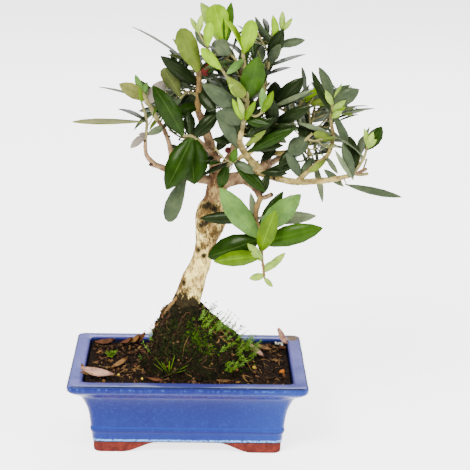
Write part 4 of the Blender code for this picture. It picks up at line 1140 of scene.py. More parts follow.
class Ground(Enum):
    """Loose things on the soil, and their finishes."""

    SOIL = EarthFinish("soil_crumbs", (26, 21, 17), (55, 40, 30), 0.003)
    CHIP = EarthFinish("bark_chips", (60, 43, 32), (98, 74, 52), 0.003)
    BLACK = EarthFinish("black_earth", (22, 19, 17), (42, 34, 26), 0.003)
    STONE = EarthFinish("pebbles", (129, 106, 57), (220, 185, 53), 0.004, 0.6)
    ORANGE = EarthFinish("orange_pebbles", (115, 62, 33), (163, 93, 23), 0.004, 0.6)
    WHITE = EarthFinish("perlite", (182, 171, 137), (250, 250, 250), 0.003, 0.7)
    BROWN_LEAF = EarthFinish("brown_leaves", (69, 43, 30), (106, 68, 47), 0.006, 0.7)
    BEIGE_LEAF = EarthFinish("faded_leaves", (117, 88, 78), (193, 145, 120), 0.008, 0.55)
    OCHRE_LEAF = EarthFinish("ochre_leaves", (80, 58, 38), (129, 92, 51), 0.006, 0.65)
    MOSS = EarthFinish("bright_moss", (41, 64, 21), (72, 102, 19), 0.003)
    DARK_MOSS = EarthFinish("dark_moss", (28, 35, 17), (48, 59, 27), 0.003)
    WEED = EarthFinish("small_weeds", (63, 90, 40), (116, 159, 51), 0.002, 0.6)
    ROSETTE = EarthFinish("light_weeds", (56, 80, 31), (102, 133, 12), 0.003, 0.6)
    ROOT = EarthFinish("woody_roots", (34, 25, 20), (60, 44, 32), 0.004, 0.85)
    PALE_ROOT = EarthFinish("pale_roots", (84, 65, 46), (139, 108, 62), 0.004, 0.85)


GROUND = list(Ground)
SOIL, CHIP, BLACK, STONE, ORANGE, WHITE, BROWN_LEAF, BEIGE_LEAF, OCHRE_LEAF, MOSS = GROUND[:10]
DARK_MOSS, WEED, ROSETTE, ROOT, PALE_ROOT = GROUND[10:]
QUARTERS = (0.0, 0.25, 0.5, 0.75, 1.0)


def small_sheet(across: int, along: int) -> Mesh:
    """A thin square sheet of some faces across and along, which lay_leaf bends to a leaf."""
    bm = bmesh.new()
    bmesh.ops.create_grid(bm, x_segments=across, y_segments=along, size=1.0)
    bmesh.ops.solidify(bm, geom=bm.faces[:], thickness=0.08)
    return bm


@dataclass
class Litter:
    """Small things that lie on the soil and the mound, gathered into one piece."""

    chance: random.Random
    bm: Mesh = field(default_factory=bmesh.new)

    def __post_init__(self) -> None:
        """Make the crumb and the small leaves that are set down over and over."""
        crumb = bmesh.new()
        bmesh.ops.create_icosphere(crumb, subdivisions=1, radius=1.0)
        self.crumb = Stamp(crumb)
        self.leaf, self.blade = (Stamp(small_sheet(across, along)) for across, along in ((2, 5), (1, 3)))

    def any_way(self, most: float) -> Vector:
        """A vector whose parts are each anywhere up to a size."""
        return Vector([self.chance.uniform(-most, most) for _ in range(3)])

    def drop_crumb(self, point: Vector, size: float, kind: Ground) -> None:
        """Set down a crumb of uneven shape.

        Args:
            point: Where its middle lies.
            size: Its radius.
            kind: What it is.
        """
        turn = self.any_way(1).normalized()
        spin = Matrix.Rotation(self.chance.uniform(0, math.tau), 3, turn)
        stretch = [size * self.chance.uniform(0.6, 1.25) for _ in range(3)]
        shift = self.chance.uniform(0, 9)

        def shape(co: Vector) -> Vector:
            lump = 1.0 + 0.35 * noise.noise(co * 1.7 + Vector((shift, shift, shift)))
            return point + spin @ Vector([part * scale * lump for part, scale in zip(co, stretch)])

        self.crumb.press(self.bm, shape, GROUND.index(kind))

    def lay_thread(self, points: Sequence[Vector], radius: float, kind: Ground, sides: int = 5) -> None:
        """Lay down a root, a stalk or a fibre that thins out towards its end.

        Args:
            points: Its route.
            radius: Its radius at the thick end.
            kind: What it is.
            sides: How many sides it has.
        """
        last = len(points) - 1
        radii = [radius * (1.0 - 0.55 * number / last) for number in range(last + 1)]
        gather(self.bm, set_material(tube(points, radii, sides), GROUND.index(kind)))

    def lay_fibre(self, points: Sequence[Vector], kinds: Sequence[Ground]) -> None:
        """Lay down a fibre of one of several kinds."""
        kind = self.chance.choice(kinds)
        self.lay_thread(points, self.chance.uniform(0.0002, 0.0005), kind, 4)

    def lay_leaf(self, root: Vector, tip: Vector, width: float, up: Vector, curl: float, kind: Ground) -> None:
        """Lay down a leaf, pointed at both ends.

        Args:
            root: Where it starts.
            tip: Where it ends.
            width: Its full width.
            up: Where its upper side is turned.
            curl: How far it curls up, as a share of its width.
            kind: What it is.
        """
        along = (tip - root).normalized()
        across = along.cross(up).normalized()
        upper = across.cross(along)

        def shape(co: Vector) -> Vector:
            t = (co.y + 1.0) / 2.0
            half = max(0.0002, width / 2 * math.sin(math.pi * between(0.015, t, 0.985)) ** 0.8)
            lift = curl * width * (co.x * co.x * 0.8 + (2 * t - 1) ** 2 * 0.5)
            lift += co.z * width * 0.4
            return root.lerp(tip, t) + across * co.x * half + upper * lift

        (self.leaf if width > 0.0016 else self.blade).press(self.bm, shape, GROUND.index(kind))

    def grow_tuft(
        self, root: Vector, up: Vector, height: float, count: int, slim: float, lean: tuple, kind: Ground = ROSETTE
    ) -> None:
        """Grow a tuft of small leaves.

        Args:
            root: Where it springs from.
            up: Its main direction.
            height: The length of its leaves.
            count: How many leaves it has.
            slim: The leaves' width, as a share.
            lean: Least and most lean outward.
            kind: What it is.
        """
        for number in range(count):
            turn = number * 2.4 + self.chance.uniform(-0.3, 0.3)
            side = Matrix.Rotation(turn, 3, up) @ up.orthogonal().normalized()
            direction = (up + side * self.chance.uniform(*lean)).normalized()
            length = height * self.chance.uniform(0.7, 1.1)
            self.lay_leaf(root, root + direction * length, length * slim, up - side, 0.1, kind)

    def drop_flake(self, point: Vector, up: Vector, length: float, kind: Ground) -> None:
        """Set down a thin curled chip that lies any way round.

        Args:
            point: Where its middle lies.
            up: Out of the ground.
            length: Its length.
            kind: What it is.
        """
        tilt = self.any_way(0.5)
        along = Matrix.Rotation(self.chance.uniform(0, math.tau), 3, up) @ up.orthogonal() + tilt * 0.7
        half = along.normalized() * length / 2
        width = length * self.chance.uniform(0.25, 0.6)
        self.lay_leaf(point - half, point + half, width, up + tilt, self.chance.uniform(0.1, 0.6), kind)

    def finish(self, name: str, materials: Sequence[Material]) -> None:
        """Turn everything laid down so far into a piece, with the finishes that are used.

        Args:
            name: The piece's name.
            materials: The finishes of Ground.
        """
        used = sorted({face.material_index for face in self.bm.faces})
        for face in self.bm.faces:
            face.material_index = used.index(face.material_index)
        make_piece(self.bm, name, [materials[number] for number in used])
        self.bm = bmesh.new()


@dataclass
class SoilBed:
    """Dark crumbly soil that fills the pot to just under its rim, with what has fallen on it."""

    litter: Litter
    half_length: float = 0.0872
    half_depth: float = 0.0566
    top: float = 0.0623
    read_level: float = 0.0603
    thickness: float = 0.006
    lumpiness: float = 0.0013
    crumbs: int = 1800
    fibres: int = 250
    patches: tuple = (
        ((-82, -52), (82, 52), 150), ((-54, 22), (-28, 48), 46), ((62, 24), (84, 52), 20),
        ((-70, -26), (-50, -14), 16), ((-84, 8), (-58, 48), 22),
    )
    stones: tuple = (
        ((80, -24, 63), 3.2, ORANGE), ((57, -26, 62.8), 2.4, CHIP), ((56, 15.7, 62.3), 1.7, STONE),
        ((-38.9, -42.3, 62), 1.6, STONE), ((47, 19, 63), 1.5, STONE), ((56.8, -12.2, 62.3), 1.6, STONE),
        ((-59.2, -33.4, 62), 1.4, STONE), ((34.8, -35.1, 62.2), 1.7, WHITE), ((78.8, 53, 62), 2, WHITE),
        ((83.9, 48.5, 62), 1.8, WHITE), ((84, 51.5, 63), 1.9, WHITE), ((81, 51, 62.4), 1.6, WHITE),
        ((-20.9, -22, 63), 1.1, WHITE), ((-30, 38, 62), 1.5, STONE), ((12, 47, 62), 1.6, WHITE),
    )
    leaves: tuple = (
        ((-63, -46, 64), (-91, -38, 66.8), 11, 0.3, BEIGE_LEAF),
        ((-88, -38, 66), (-91, -26, 68.5), 3, 0.4, OCHRE_LEAF),
        ((-80, -45, 65.5), (-91, -42, 66.4), 3.4, 0.4, OCHRE_LEAF),
        ((-66, -21.6, 61.5), (-53, 1, 63.5), 5.5, 0.5, OCHRE_LEAF),
        ((-52, 43, 62), (-43, 47, 68.5), 6, 0.6, OCHRE_LEAF),
        ((-46, 44, 62), (-38, 49, 70), 5.5, 0.7, BROWN_LEAF),
        ((-60, 42, 62), (-50, 44, 66.5), 5, 0.6, BROWN_LEAF), ((-84, 43, 62), (-66, 46, 64), 7, 0.4, BROWN_LEAF),
        ((54, 48, 62), (66, 12, 62.5), 6, 0.25, BEIGE_LEAF), ((60, 44, 62.5), (74, 30, 62.5), 5, 0.3, OCHRE_LEAF),
        ((86, 50, 61), (78, 52, 76), 7.5, 0.5, BEIGE_LEAF), ((82, 40, 61), (86, 30, 63), 6, 0.5, BROWN_LEAF),
        ((-20, -48, 61.5), (-34, -45, 62.5), 4, 0.4, BROWN_LEAF),
        ((24, -46, 61.5), (36, -49, 62.3), 4, 0.4, OCHRE_LEAF),
        ((-12, 50, 61.5), (2, 46, 63.5), 6, 0.4, BROWN_LEAF),
        ((38, 52, 61.5), (24, 50, 63.5), 5, 0.4, OCHRE_LEAF),
    )
    sticks: tuple = (
        (((-50, 19, 64.5), (-42, 23, 66), (-33, 28, 68)), 0.0008),
        (((66, -40, 64), (74, -37, 65), (82, -38, 64)), 0.0007),
    )
    weeds: tuple = (
        ((-68, 14, 64), (0, -0.5, 1), 0.0072, 11, 0.36, (0.9, 2.2)),
        ((-68, 14, 64.5), (0, -0.5, 1), 0.0046, 7, 0.36, (0.2, 0.9)),
        ((-16.3, -33, 64), (0, -0.2, 1), 0.0195, 17, 0.08, (0.2, 1.9)),
        ((-15.3, -34, 63), (0.1, -0.2, 1), 0.009, 9, 0.09, (0.25, 1.1)),
    )

    def height(self, x: float, y: float) -> float:
        """Height of the soil at a place."""
        return self.top + uneven(Vector((x, y, 0.0)), 0.011) * self.lumpiness

    def surface(self) -> Mesh:
        """The soil's lumpy top with its thickness.

        Returns:
            The soil.
        """
        bm = bmesh.new()
        bmesh.ops.create_grid(bm, x_segments=110, y_segments=72, size=1.0)
        bmesh.ops.scale(bm, vec=(self.half_length, self.half_depth, 1.0), verts=bm.verts)
        for vert in bm.verts:
            vert.co.z = self.height(vert.co.x, vert.co.y) + uneven(vert.co, 0.003, 2) * 0.0005
        sheet = bmesh.ops.extrude_face_region(bm, geom=[*bm.faces, *bm.edges, *bm.verts])
        for item in sheet["geom"]:
            if isinstance(item, bmesh.types.BMVert):
                item.co = (item.co.x * 0.975, item.co.y * 0.975, self.top - self.thickness)
        return bm

    def scatter(self, place_on: Callable[[float, float], float]) -> None:
        """Strew crumbs, chips and fibres.

        Args:
            place_on: Gives the height of the ground at a place.
        """
        litter, chance = self.litter, self.litter.chance
        kinds = [SOIL] * 10 + [BLACK] * 9 + [CHIP] * 2 + [OCHRE_LEAF]
        for _ in range(self.crumbs):
            x = chance.uniform(-0.97, 0.97) * self.half_length
            y = chance.uniform(-0.96, 0.96) * self.half_depth
            size = chance.choice((0.0005, 0.0007, 0.0010, 0.0013, 0.0018))
            litter.drop_crumb(Vector((x, y, place_on(x, y) + size * 0.3)), size, chance.choice(kinds))
        for _ in range(self.fibres):
            x = chance.uniform(-0.92, 0.92) * self.half_length
            y = chance.uniform(-0.92, 0.92) * self.half_depth
            turn = chance.uniform(0, math.tau)
            bend = chance.uniform(-0.9, 0.9)
            length = chance.uniform(0.003, 0.011)
            points = []
            for share in QUARTERS:
                step = bearing(turn + bend * share) * length * share
                px = between(-self.half_length, x + step.x, self.half_length)
                py = between(-self.half_depth, y + step.y, self.half_depth)
                points.append(Vector((px, py, place_on(px, py) + 0.0007 + 0.0012 * math.sin(math.pi * share))))
            litter.lay_fibre(points, (CHIP, SOIL, ROOT, PALE_ROOT))
        flakes = (CHIP, CHIP, SOIL, BROWN_LEAF, OCHRE_LEAF, PALE_ROOT)
        for low, high, count in self.patches:
            for _ in range(count):
                x = chance.uniform(low[0], high[0]) * MM
                y = chance.uniform(low[1], high[1]) * MM
                length = chance.uniform(0.0022, 0.0062)
                up = Vector((chance.uniform(-0.4, 0.4), chance.uniform(-0.6, 0.2), 1.0)).normalized()
                litter.drop_flake(Vector((x, y, place_on(x, y) + 0.0007)), up, length, chance.choice(flakes))

    def fallen(self) -> None:
        """Lay down the leaves, pebbles, twigs and seedlings that the soil carries."""
        litter = self.litter
        up = Vector((0.0, -0.3, 1.0))
        rise = Vector((0.0, 0.0, self.top - self.read_level))
        for root, tip, width, curl, kind in self.leaves:
            litter.lay_leaf(flat(root) + rise, flat(tip) + rise, width * MM, up, curl, kind)
        for place, size, kind in self.stones:
            litter.drop_crumb(flat(place) + rise, size * MM, kind)
        for route, radius in self.sticks:
            litter.lay_thread([flat(point) for point in route], radius, ROOT)
        for root, facing, *rest in self.weeds:
            litter.grow_tuft(flat(root), Vector(facing), *rest)

    def build(self) -> None:
        """Build the soil itself."""
        earth = EarthFinish("dark_soil", (18, 14, 12), (38, 28, 22), 0.004, 0.95, 0.0012)
        make_piece(self.surface(), "soil_bed", [earth.material()], ("soil",))


@dataclass
class RootMound:
    """The mound of old roots, soil and moss that the trunk stands on."""

    litter: Litter
    sides: int = 110
    step: float = 1.1
    lobes: int = 5
    lobe_depth: float = 0.0013
    lumpiness: float = 0.0021
    crumbs: int = 1000
    flakes: int = 60
    collar: int = 80
    fibres: int = 380
    bright_tufts: int = 430
    dark_tufts: int = 1250
    front_sprigs: int = 90
    back_sprigs: int = 16
    bright_patches: tuple = (
        (1.0, -1.36, 0.19, 94.0, 9.0), (0.15, -0.3, 0.5, 92.0, 18.0), (0.10, 1.9, 0.6, 88.0, 14.0),
    )
    dark_patch: tuple = (0.8, -1.75, 0.6, 90.0, 14.0)
    capsules: tuple = (
        ((12, -4, 112), (14.1, -3, 119.5)), ((13, -8, 106), (17.1, -6, 113.8)), ((24, -8, 96), (29.4, -6, 102.8)),
        ((38, -4, 88), (44.9, -2, 98.6)), ((50, 2, 78), (58.2, 2, 88.3)), ((-28, 0, 90), (-32, 0, 97.7)),
        ((20, 14, 96), (25, 15, 104)), ((-14, 22, 94), (-17, 25, 102)),
    )
    old_roots: tuple = (
        ((
            (-9, -4, 125), (-13.5, -5, 119.5), (-17.8, -5, 114.5), (-20.8, -5, 110), (-25, -4, 103), (-30, -3, 94),
        ), 2.3, PALE_ROOT),
        (((-14, -3, 119), (-19, -4, 112), (-27, -3, 104), (-31, -2, 92), (-37, 0, 78), (-45, 2, 64)), 1.9, ROOT),
        (((-12, -8, 114), (-20, -12, 104), (-24, -14, 92), (-33, -16, 80), (-37, -20, 66)), 1.5, ROOT),
        (((-4, -12, 112), (-9, -19, 100), (-17, -23, 88), (-20, -29, 74), (-29, -34, 62)), 1.2, ROOT),
        (((13, -10, 106), (19, -14, 98), (23, -13, 92), (31, -15, 86)), 0.6, PALE_ROOT),
        (((18, -18, 90), (27, -15, 93), (35, -11, 90), (41, -8, 84)), 0.7, PALE_ROOT),
        (((11, -2, 112), (21, -3, 102), (32, -6, 92), (43, -6, 81), (53, -9, 65)), 0.7, ROOT),
        (((6, 10, 112), (15, 17, 101), (24, 22, 90), (33, 26, 78), (42, 33, 63)), 1.6, ROOT),
        (((-6, 13, 112), (-11, 20, 102), (-16, 26, 90), (-19, 31, 78), (-26, 38, 63)), 1.7, ROOT),
        (((-13, 6, 114), (-21, 10, 104), (-27, 14, 92), (-32, 18, 80), (-40, 22, 64)), 1.3, PALE_ROOT),
        (((3, -12, 106), (8, -21, 95), (17, -27, 84), (21, -33, 72), (28, -39, 62)), 1, ROOT),
    )
    rings: tuple = (
        (59, 8, 52.5, 44.5), (60.3, 8, 51.5, 43.5), (63, 8, 50, 42), (71, 8, 46, 38), (80, 7.5, 41, 33),
        (89, 4.5, 36, 29), (97, 0, 29, 25), (105, -2, 23, 21), (112, -2.5, 17.5, 17.5), (117.5, -3, 13.4, 13.8),
        (119, -3, 11, 11),
    )

    def ring_at(self, height: float) -> Vector:
        """The mound's ring at a height.

        Args:
            height: The height in millimetres.

        Returns:
            Height, middle, half width and half depth.
        """
        for low, high in zip(self.rings, self.rings[1:]):
            if height <= high[0]:
                return Vector(low).lerp(Vector(high), max(0.0, (height - low[0]) / (high[0] - low[0])))
        return Vector(self.rings[-1])

    def surface_point(self, angle: float, height: float) -> Vector:
        """A point of the mound's surface.

        Args:
            angle: Its bearing.
            height: Its height in millimetres.

        Returns:
            The point.
        """
        _, middle, half_width, half_depth = self.ring_at(height)
        point = Vector((middle + half_width * math.cos(angle), half_depth * math.sin(angle), height)) * MM
        ridge = self.lobe_depth * math.sin(self.lobes * angle + 1.0)
        lumps = uneven(point, 0.009, 4) * self.lumpiness + uneven(point, 0.0022, 2) * 0.0006
        return point + bearing(angle) * (ridge + lumps) * between(0.0, (height - 59.5) / 4.0, 1.0)

    def height(self, x: float, y: float, soil: SoilBed) -> float:
        """Height of the ground, on the mound or beside it.

        Args:
            x: Place along the pot.
            y: Place across it.
            soil: The soil round the mound.

        Returns:
            The height.
        """
        best = soil.height(x, y)
        for height in range(61, 121, 2):
            _, middle, half_width, half_depth = self.ring_at(height)
            if ((x / MM - middle) / half_width) ** 2 + (y / MM / half_depth) ** 2 > 1.0:
                break
            best = height * MM
        return best

    def body(self) -> Mesh:
        """The mound itself.

        Returns:
            The mound.
        """
        bm = bmesh.new()
        bmesh.ops.create_circle(bm, cap_ends=True, segments=self.sides, radius=1.0)
        heights = smooth_route([(row[0], 0.0, 0.0) for row in self.rings], self.step)
        for row, verts in zip(heights, ring_stack(bm, len(heights))):
            for vert in verts:
                vert.co = self.surface_point(math.atan2(vert.co.y, vert.co.x), row.x)
        return bm

    def cover(self) -> None:
        """Strew the mound with crumbs, moss, fibres and roots."""
        litter, chance = self.litter, self.litter.chance
        for _ in range(self.crumbs):
            point = self.surface_point(chance.uniform(0, math.tau), 62.0 + 52.0 * chance.random() ** 1.3)
            size = chance.choice((0.0005, 0.0007, 0.0009, 0.0013))
            litter.drop_crumb(point, size, chance.choice((BLACK, BLACK, BLACK, SOIL, SOIL, CHIP)))
        for _ in range(self.flakes):
            angle = math.pi + chance.uniform(-0.75, 0.45)
            out = bearing(angle, 0.5).normalized()
            point = self.surface_point(angle, chance.uniform(70.0, 114.0)) + out * 0.0006
            kind = chance.choice((ROOT, ROOT, CHIP, BROWN_LEAF, OCHRE_LEAF))
            litter.drop_flake(point, out, chance.uniform(0.003, 0.0075), kind)
        for _ in range(self.collar):
            climb = 0.4 * chance.random() ** 2.0
            row = Vector(TRUNK.route[4]).lerp(Vector(TRUNK.route[5]), climb * 0.9)
            angle = chance.uniform(-3.0, -1.5) + 0.5 * climb
            kind = chance.choice((BLACK, SOIL, DARK_MOSS))
            litter.drop_crumb((row.xyz + bearing(angle) * row.w * 1.02) * MM, chance.uniform(0.0003, 0.0009), kind)
        for _ in range(self.fibres):
            angle = chance.uniform(0, math.tau)
            height = chance.uniform(66.0, 113.0)
            drop = chance.uniform(2.0, 9.0)
            sway = chance.uniform(-0.35, 0.35)
            points = []
            for share in QUARTERS:
                point = self.surface_point(angle + sway * share, height - drop * share)
                points.append(point + bearing(angle) * 0.001 * math.sin(math.pi * share))
            litter.lay_fibre(points, (BLACK, BLACK, SOIL, ROOT, CHIP))

    def patch(self, angle: float, height: float, place: tuple) -> float:
        """How thick a patch of moss is, its place being its most, bearing, spread, level and rise."""
        most, turn, spread, level, rise = place
        return most * math.exp(-(((angle - turn) / spread) ** 2)) * math.exp(-(((height - level) / rise) ** 2))

    def bright_share(self, angle: float, height: float) -> float:
        """How thick the bright moss grows: in one patch down the front, thinly on the right and behind."""
        return sum(self.patch(angle, height, place) for place in self.bright_patches)

    def dark_share(self, angle: float, height: float) -> float:
        """How thick the dark moss grows: all over the front, and in patches behind."""
        cloud = noise.noise(bearing(angle, height * 0.03) * 3.0)
        return self.patch(angle, height, self.dark_patch) + 0.3 * max(0.0, cloud + 0.2)

    def plant_moss(self, share: Callable[[float, float], float], count: int, kind: Ground) -> None:
        """Plant moss cushions.

        Args:
            share: How thick they grow at an angle and height.
            count: How many there are.
            kind: Their moss.
        """
        litter, chance = self.litter, self.litter.chance
        while count:
            angle = chance.uniform(-math.pi, math.pi)
            height = chance.uniform(63.0, 113.0)
            if chance.random() > share(angle, height):
                continue
            count -= 1
            point = self.surface_point(angle, height)
            out = bearing(angle, 0.6).normalized()
            if chance.random() < 0.3:
                litter.drop_crumb(point + out * 0.0003, chance.uniform(0.0005, 0.001), kind)
            else:
                litter.grow_tuft(point, out, chance.uniform(0.0014, 0.0028), 3, 0.24, (0.25, 1.1), kind)

    def plant_sprigs(self) -> None:
        """Plant the feathery sprigs, most of them down the right flank."""
        chance = self.litter.chance
        for _ in range(self.front_sprigs):
            self.grow_sprig(chance.uniform(-1.1, 0.45), 68.0 + 44.0 * chance.random() ** 1.2)
        for _ in range(self.back_sprigs):
            self.grow_sprig(chance.uniform(0.8, 3.6), chance.uniform(64.0, 92.0))

    def grow_sprig(self, angle: float, height: float) -> None:
        """Grow a feathery sprig of moss, a thin stem with small leaves all round.

        Args:
            angle: Where it springs from.
            height: How high, in millimetres.
        """
        litter, chance = self.litter, self.litter.chance
        point = self.surface_point(angle, height)
        out = bearing(angle, chance.uniform(0.4, 1.3)).normalized()
        length = chance.uniform(0.004, 0.009)
        bend = Vector((chance.uniform(-0.3, 0.3), chance.uniform(-0.3, 0.3), chance.uniform(0.0, 0.5)))
        stem = [point + out * length * share + bend * length * share * share for share in (0.0, 0.35, 0.7, 1.0)]
        litter.lay_thread(stem, 0.0003, WEED, 4)
        leaves = chance.choice((WEED, WEED, ROSETTE))
        for place in stem[1:]:
            litter.grow_tuft(place, out, 0.0026, 5, 0.2, (0.5, 2.0), leaves)

    def roots(self) -> None:
        """Lay the woody roots that show on the mound, and the capsules on their stalks."""
        for points, radius, kind in self.old_roots:
            route = []
            for point in curve(points, 2.5):
                sway = Vector((uneven(point, 0.006), uneven(point * 1.3, 0.006), 0.0)) * 0.0012
                route.append(self.on_surface(point + sway))
            self.litter.lay_thread(route, radius * MM, kind, 7)
        for foot, head in self.capsules:
            middle = flat(foot).lerp(flat(head), 0.5) + Vector((-0.0012, 0.0, 0.0012))
            self.litter.lay_thread([flat(foot), middle, flat(head)], 0.00022, WEED, 4)
            self.litter.drop_crumb(flat(head), 0.0009, DARK_MOSS)

    def on_surface(self, point: Vector) -> Vector:
        """Bring a point level with the mound's surface.

        Args:
            point: The point.

        Returns:
            Its new place.
        """
        height = between(61.0, point.z / MM, 116.0)
        _, middle, half_width, half_depth = self.ring_at(height)
        angle = math.atan2(point.y * half_width, (point.x - middle * MM) * half_depth)
        return point if height >= 114.0 else self.surface_point(angle, height)

    def build(self) -> None:
        """Build the mound's body."""
        earth = EarthFinish("mossy_earth", (17, 17, 13), (35, 34, 20), 0.005, 0.95, 0.0015)
        make_piece(self.body(), "mossy_mound", [earth.material()], ("root_mound",))


# Wood


@dataclass
class TrunkForm:
    """The leaning trunk, thickest at its roots, with knots, hollows and rough bark."""

    sides: int = 84
    step: float = 1.25
    lobes: int = 5
    lobe_depth: float = 0.16
    lobe_top: float = 0.112
    soil_top: float = 0.060
    relief: float = 0.00042
    grain: float = 0.00016

    def body(self) -> Mesh:
        """The trunk from below the soil to its fork, its foot pushed out into root lobes.

        Returns:
            The trunk.
        """
        bm = tube(curve(TRUNK.route, self.step), thickness(TRUNK.route, self.step), self.sides)
        foot = flat(TRUNK.route[1][:3])
        for vert in bm.verts:
            fade = between(0.0, (self.lobe_top - vert.co.z) / (self.lobe_top - self.soil_top), 1.0)
            out = Vector((vert.co.x - foot.x, vert.co.y - foot.y))
            swell = 1.0 + self.lobe_depth * fade * math.cos(self.lobes * math.atan2(out.y, out.x))
            vert.co = (foot.x + out.x * swell, foot.y + out.y * swell, vert.co.z)
        bm.normal_update()
        for vert in bm.verts:
            drawn = Vector((vert.co.x, vert.co.y, vert.co.z * 0.6))
            push = uneven(drawn, 0.011, 3) * self.relief * 1.6
            push += uneven(drawn, 0.0042, 3) * self.relief
            push += uneven(vert.co, 0.0014, 2) * self.grain
            for hollow in HOLLOWS:
                share = (vert.co - flat(hollow.point)).length / (hollow.radius * MM)
                if share < 1.0:
                    push -= hollow.depth * MM * (1.0 - share * share) ** 2
            vert.co += vert.normal * push
        for vert in bm.verts:
            vert.co.z = max(self.soil_top - 0.001, vert.co.z)
        bmesh.ops.remove_doubles(bm, verts=bm.verts, dist=0.00001)
        return bm

    def build(self) -> None:
        """Build the trunk."""
        bark = BarkFinish().material(HOLLOWS)
        make_piece(self.body(), "trunk_bark_surface", [bark], (TRUNK.name,))


class Wood(Enum):
    """Bark of the boughs and shoots, from old to young."""

    OLD = TwigFinish("old_bark", (137, 112, 81), (91, 69, 51), (61, 44, 31))
    TAN = TwigFinish("tan_bark", (158, 140, 80), (97, 83, 51), (68, 52, 34))
    BROWN = TwigFinish("brown_bark", (119, 95, 55), (82, 66, 45), (55, 44, 31))
    GREEN = TwigFinish("green_bark", (126, 120, 74), (89, 82, 57), (67, 56, 41))
    CUT = TwigFinish("cut_ends", (51, 38, 29), (36, 27, 21), (26, 20, 16))
    SEAL = TwigFinish("red_sealant", (84, 29, 25), (65, 21, 20), (49, 19, 18))


WOOD = list(Wood)


@dataclass
class BoughWork:
    """The boughs between the trunk's fork and the foliage, with their nodes, scars and cut stubs."""

    step: float = 1.4
    sides: int = 18
    root_swell: float = 0.32
    swell_length: float = 0.006
    node_step: float = 0.0125
    node_swell: float = 0.11
    tan: tuple = ("right_arm", "right_twig", "right_spur", "middle_spur", "fork_spur", "central_bough")
    scars: tuple = (
        ((-33.3, -16, 243.8), 2.2), ((-38.3, -18.6, 264.1), 1.6), ((-18.5, -6.8, 265.7), 1.3),
        ((-23.6, -5.4, 272.9), 1.2), ((69.4, -18.2, 233.7), 1.7), ((88.5, -23.5, 231.2), 1.5),
        ((55, -12, 238), 1.4), ((-2, -10.5, 230.6), 1.3),
    )
    stubs: tuple = (
        (((57, -26, 219), (62, -26, 219.5), (67, -25.5, 221.5)), 2.1),
        (((136, -26, 240), (141, -26.2, 242.8), (144.6, -26, 244.6)), 1.5),
        (((-16, -12, 238), (-15, -16, 242.5)), 1.6), (((20, 3, 243), (25, 2, 247.5)), 1.9),
    )
    seals: tuple = (((11.0, -4.5, 320.5), 3.6), ((13.5, -5.5, 324.0), 3.1), ((30.5, -8.0, 255.0), 2.6))

    def bough(self, limb: Limb) -> Mesh:
        """One bough, swollen where it leaves its parent and at its nodes.

        Args:
            limb: Its route and radii.

        Returns:
            The bough.
        """
        places = curve(limb.route, self.step)
        radii = thickness(limb.route, self.step)
        run = 0.0
        for number, (before, place) in enumerate(zip([places[0], *places], places)):
            run += (place - before).length
            swell = 1.0 + self.root_swell * math.exp(-run / self.swell_length)
            node = (run / self.node_step) % 1.0
            radii[number] *= swell + self.node_swell * math.exp(-(((node - 0.5) / 0.09) ** 2))
        bm = tube(places, radii, self.sides)
        bm.normal_update()
        for vert in bm.verts:
            vert.co += vert.normal * (uneven(vert.co, 0.005, 3) * 0.00024 + uneven(vert.co, 0.0013, 2) * 0.00009)
        return bm

    def knob(self, point: Point, size: float, kind: Wood) -> Mesh:
        """A scar, a cut end or a blob of sealant.

        Args:
            point: Its middle in millimetres.
            size: Its radius in millimetres.
            kind: Its finish.

        Returns:
            The knob.
        """
        bm = bmesh.new()
        bmesh.ops.create_icosphere(bm, subdivisions=3, radius=size * MM)
        for vert in bm.verts:
            vert.co *= 1.0 + 0.3 * noise.noise(vert.co * 900.0 + Vector(point))
            vert.co += flat(point)
        return set_material(bm, WOOD.index(kind))

    def build(self, materials: Sequence[Material]) -> None:
        """Build every bough as one piece.

        Args:
            materials: The finishes of Wood.
        """
        joined = bmesh.new()
        for limb in BOUGHS:
            kind = Wood.TAN if limb.name in self.tan else Wood.OLD
            gather(joined, set_material(self.bough(limb), WOOD.index(kind)))
        for points, radius in self.stubs:
            route = curve(points, 1.0)
            gather(joined, set_material(tube(route, [radius * MM] * len(route), 12), WOOD.index(Wood.OLD)))
        ends = [(points[-1], radius * 0.92, Wood.CUT) for points, radius in self.stubs]
        ends += [(point, size * 0.8, Wood.CUT) for point, size in self.scars]
        for point, size, kind in [*ends, *((*seal, Wood.SEAL) for seal in self.seals)]:
            gather(joined, self.knob(point, size, kind))
        make_piece(joined, "boughs_in_bark", materials, [limb.name for limb in BOUGHS])


# Crown

UP = Vector((0.0, -0.1, 1.0))
GOLDEN_ANGLE = math.pi * (3.0 - math.sqrt(5.0))

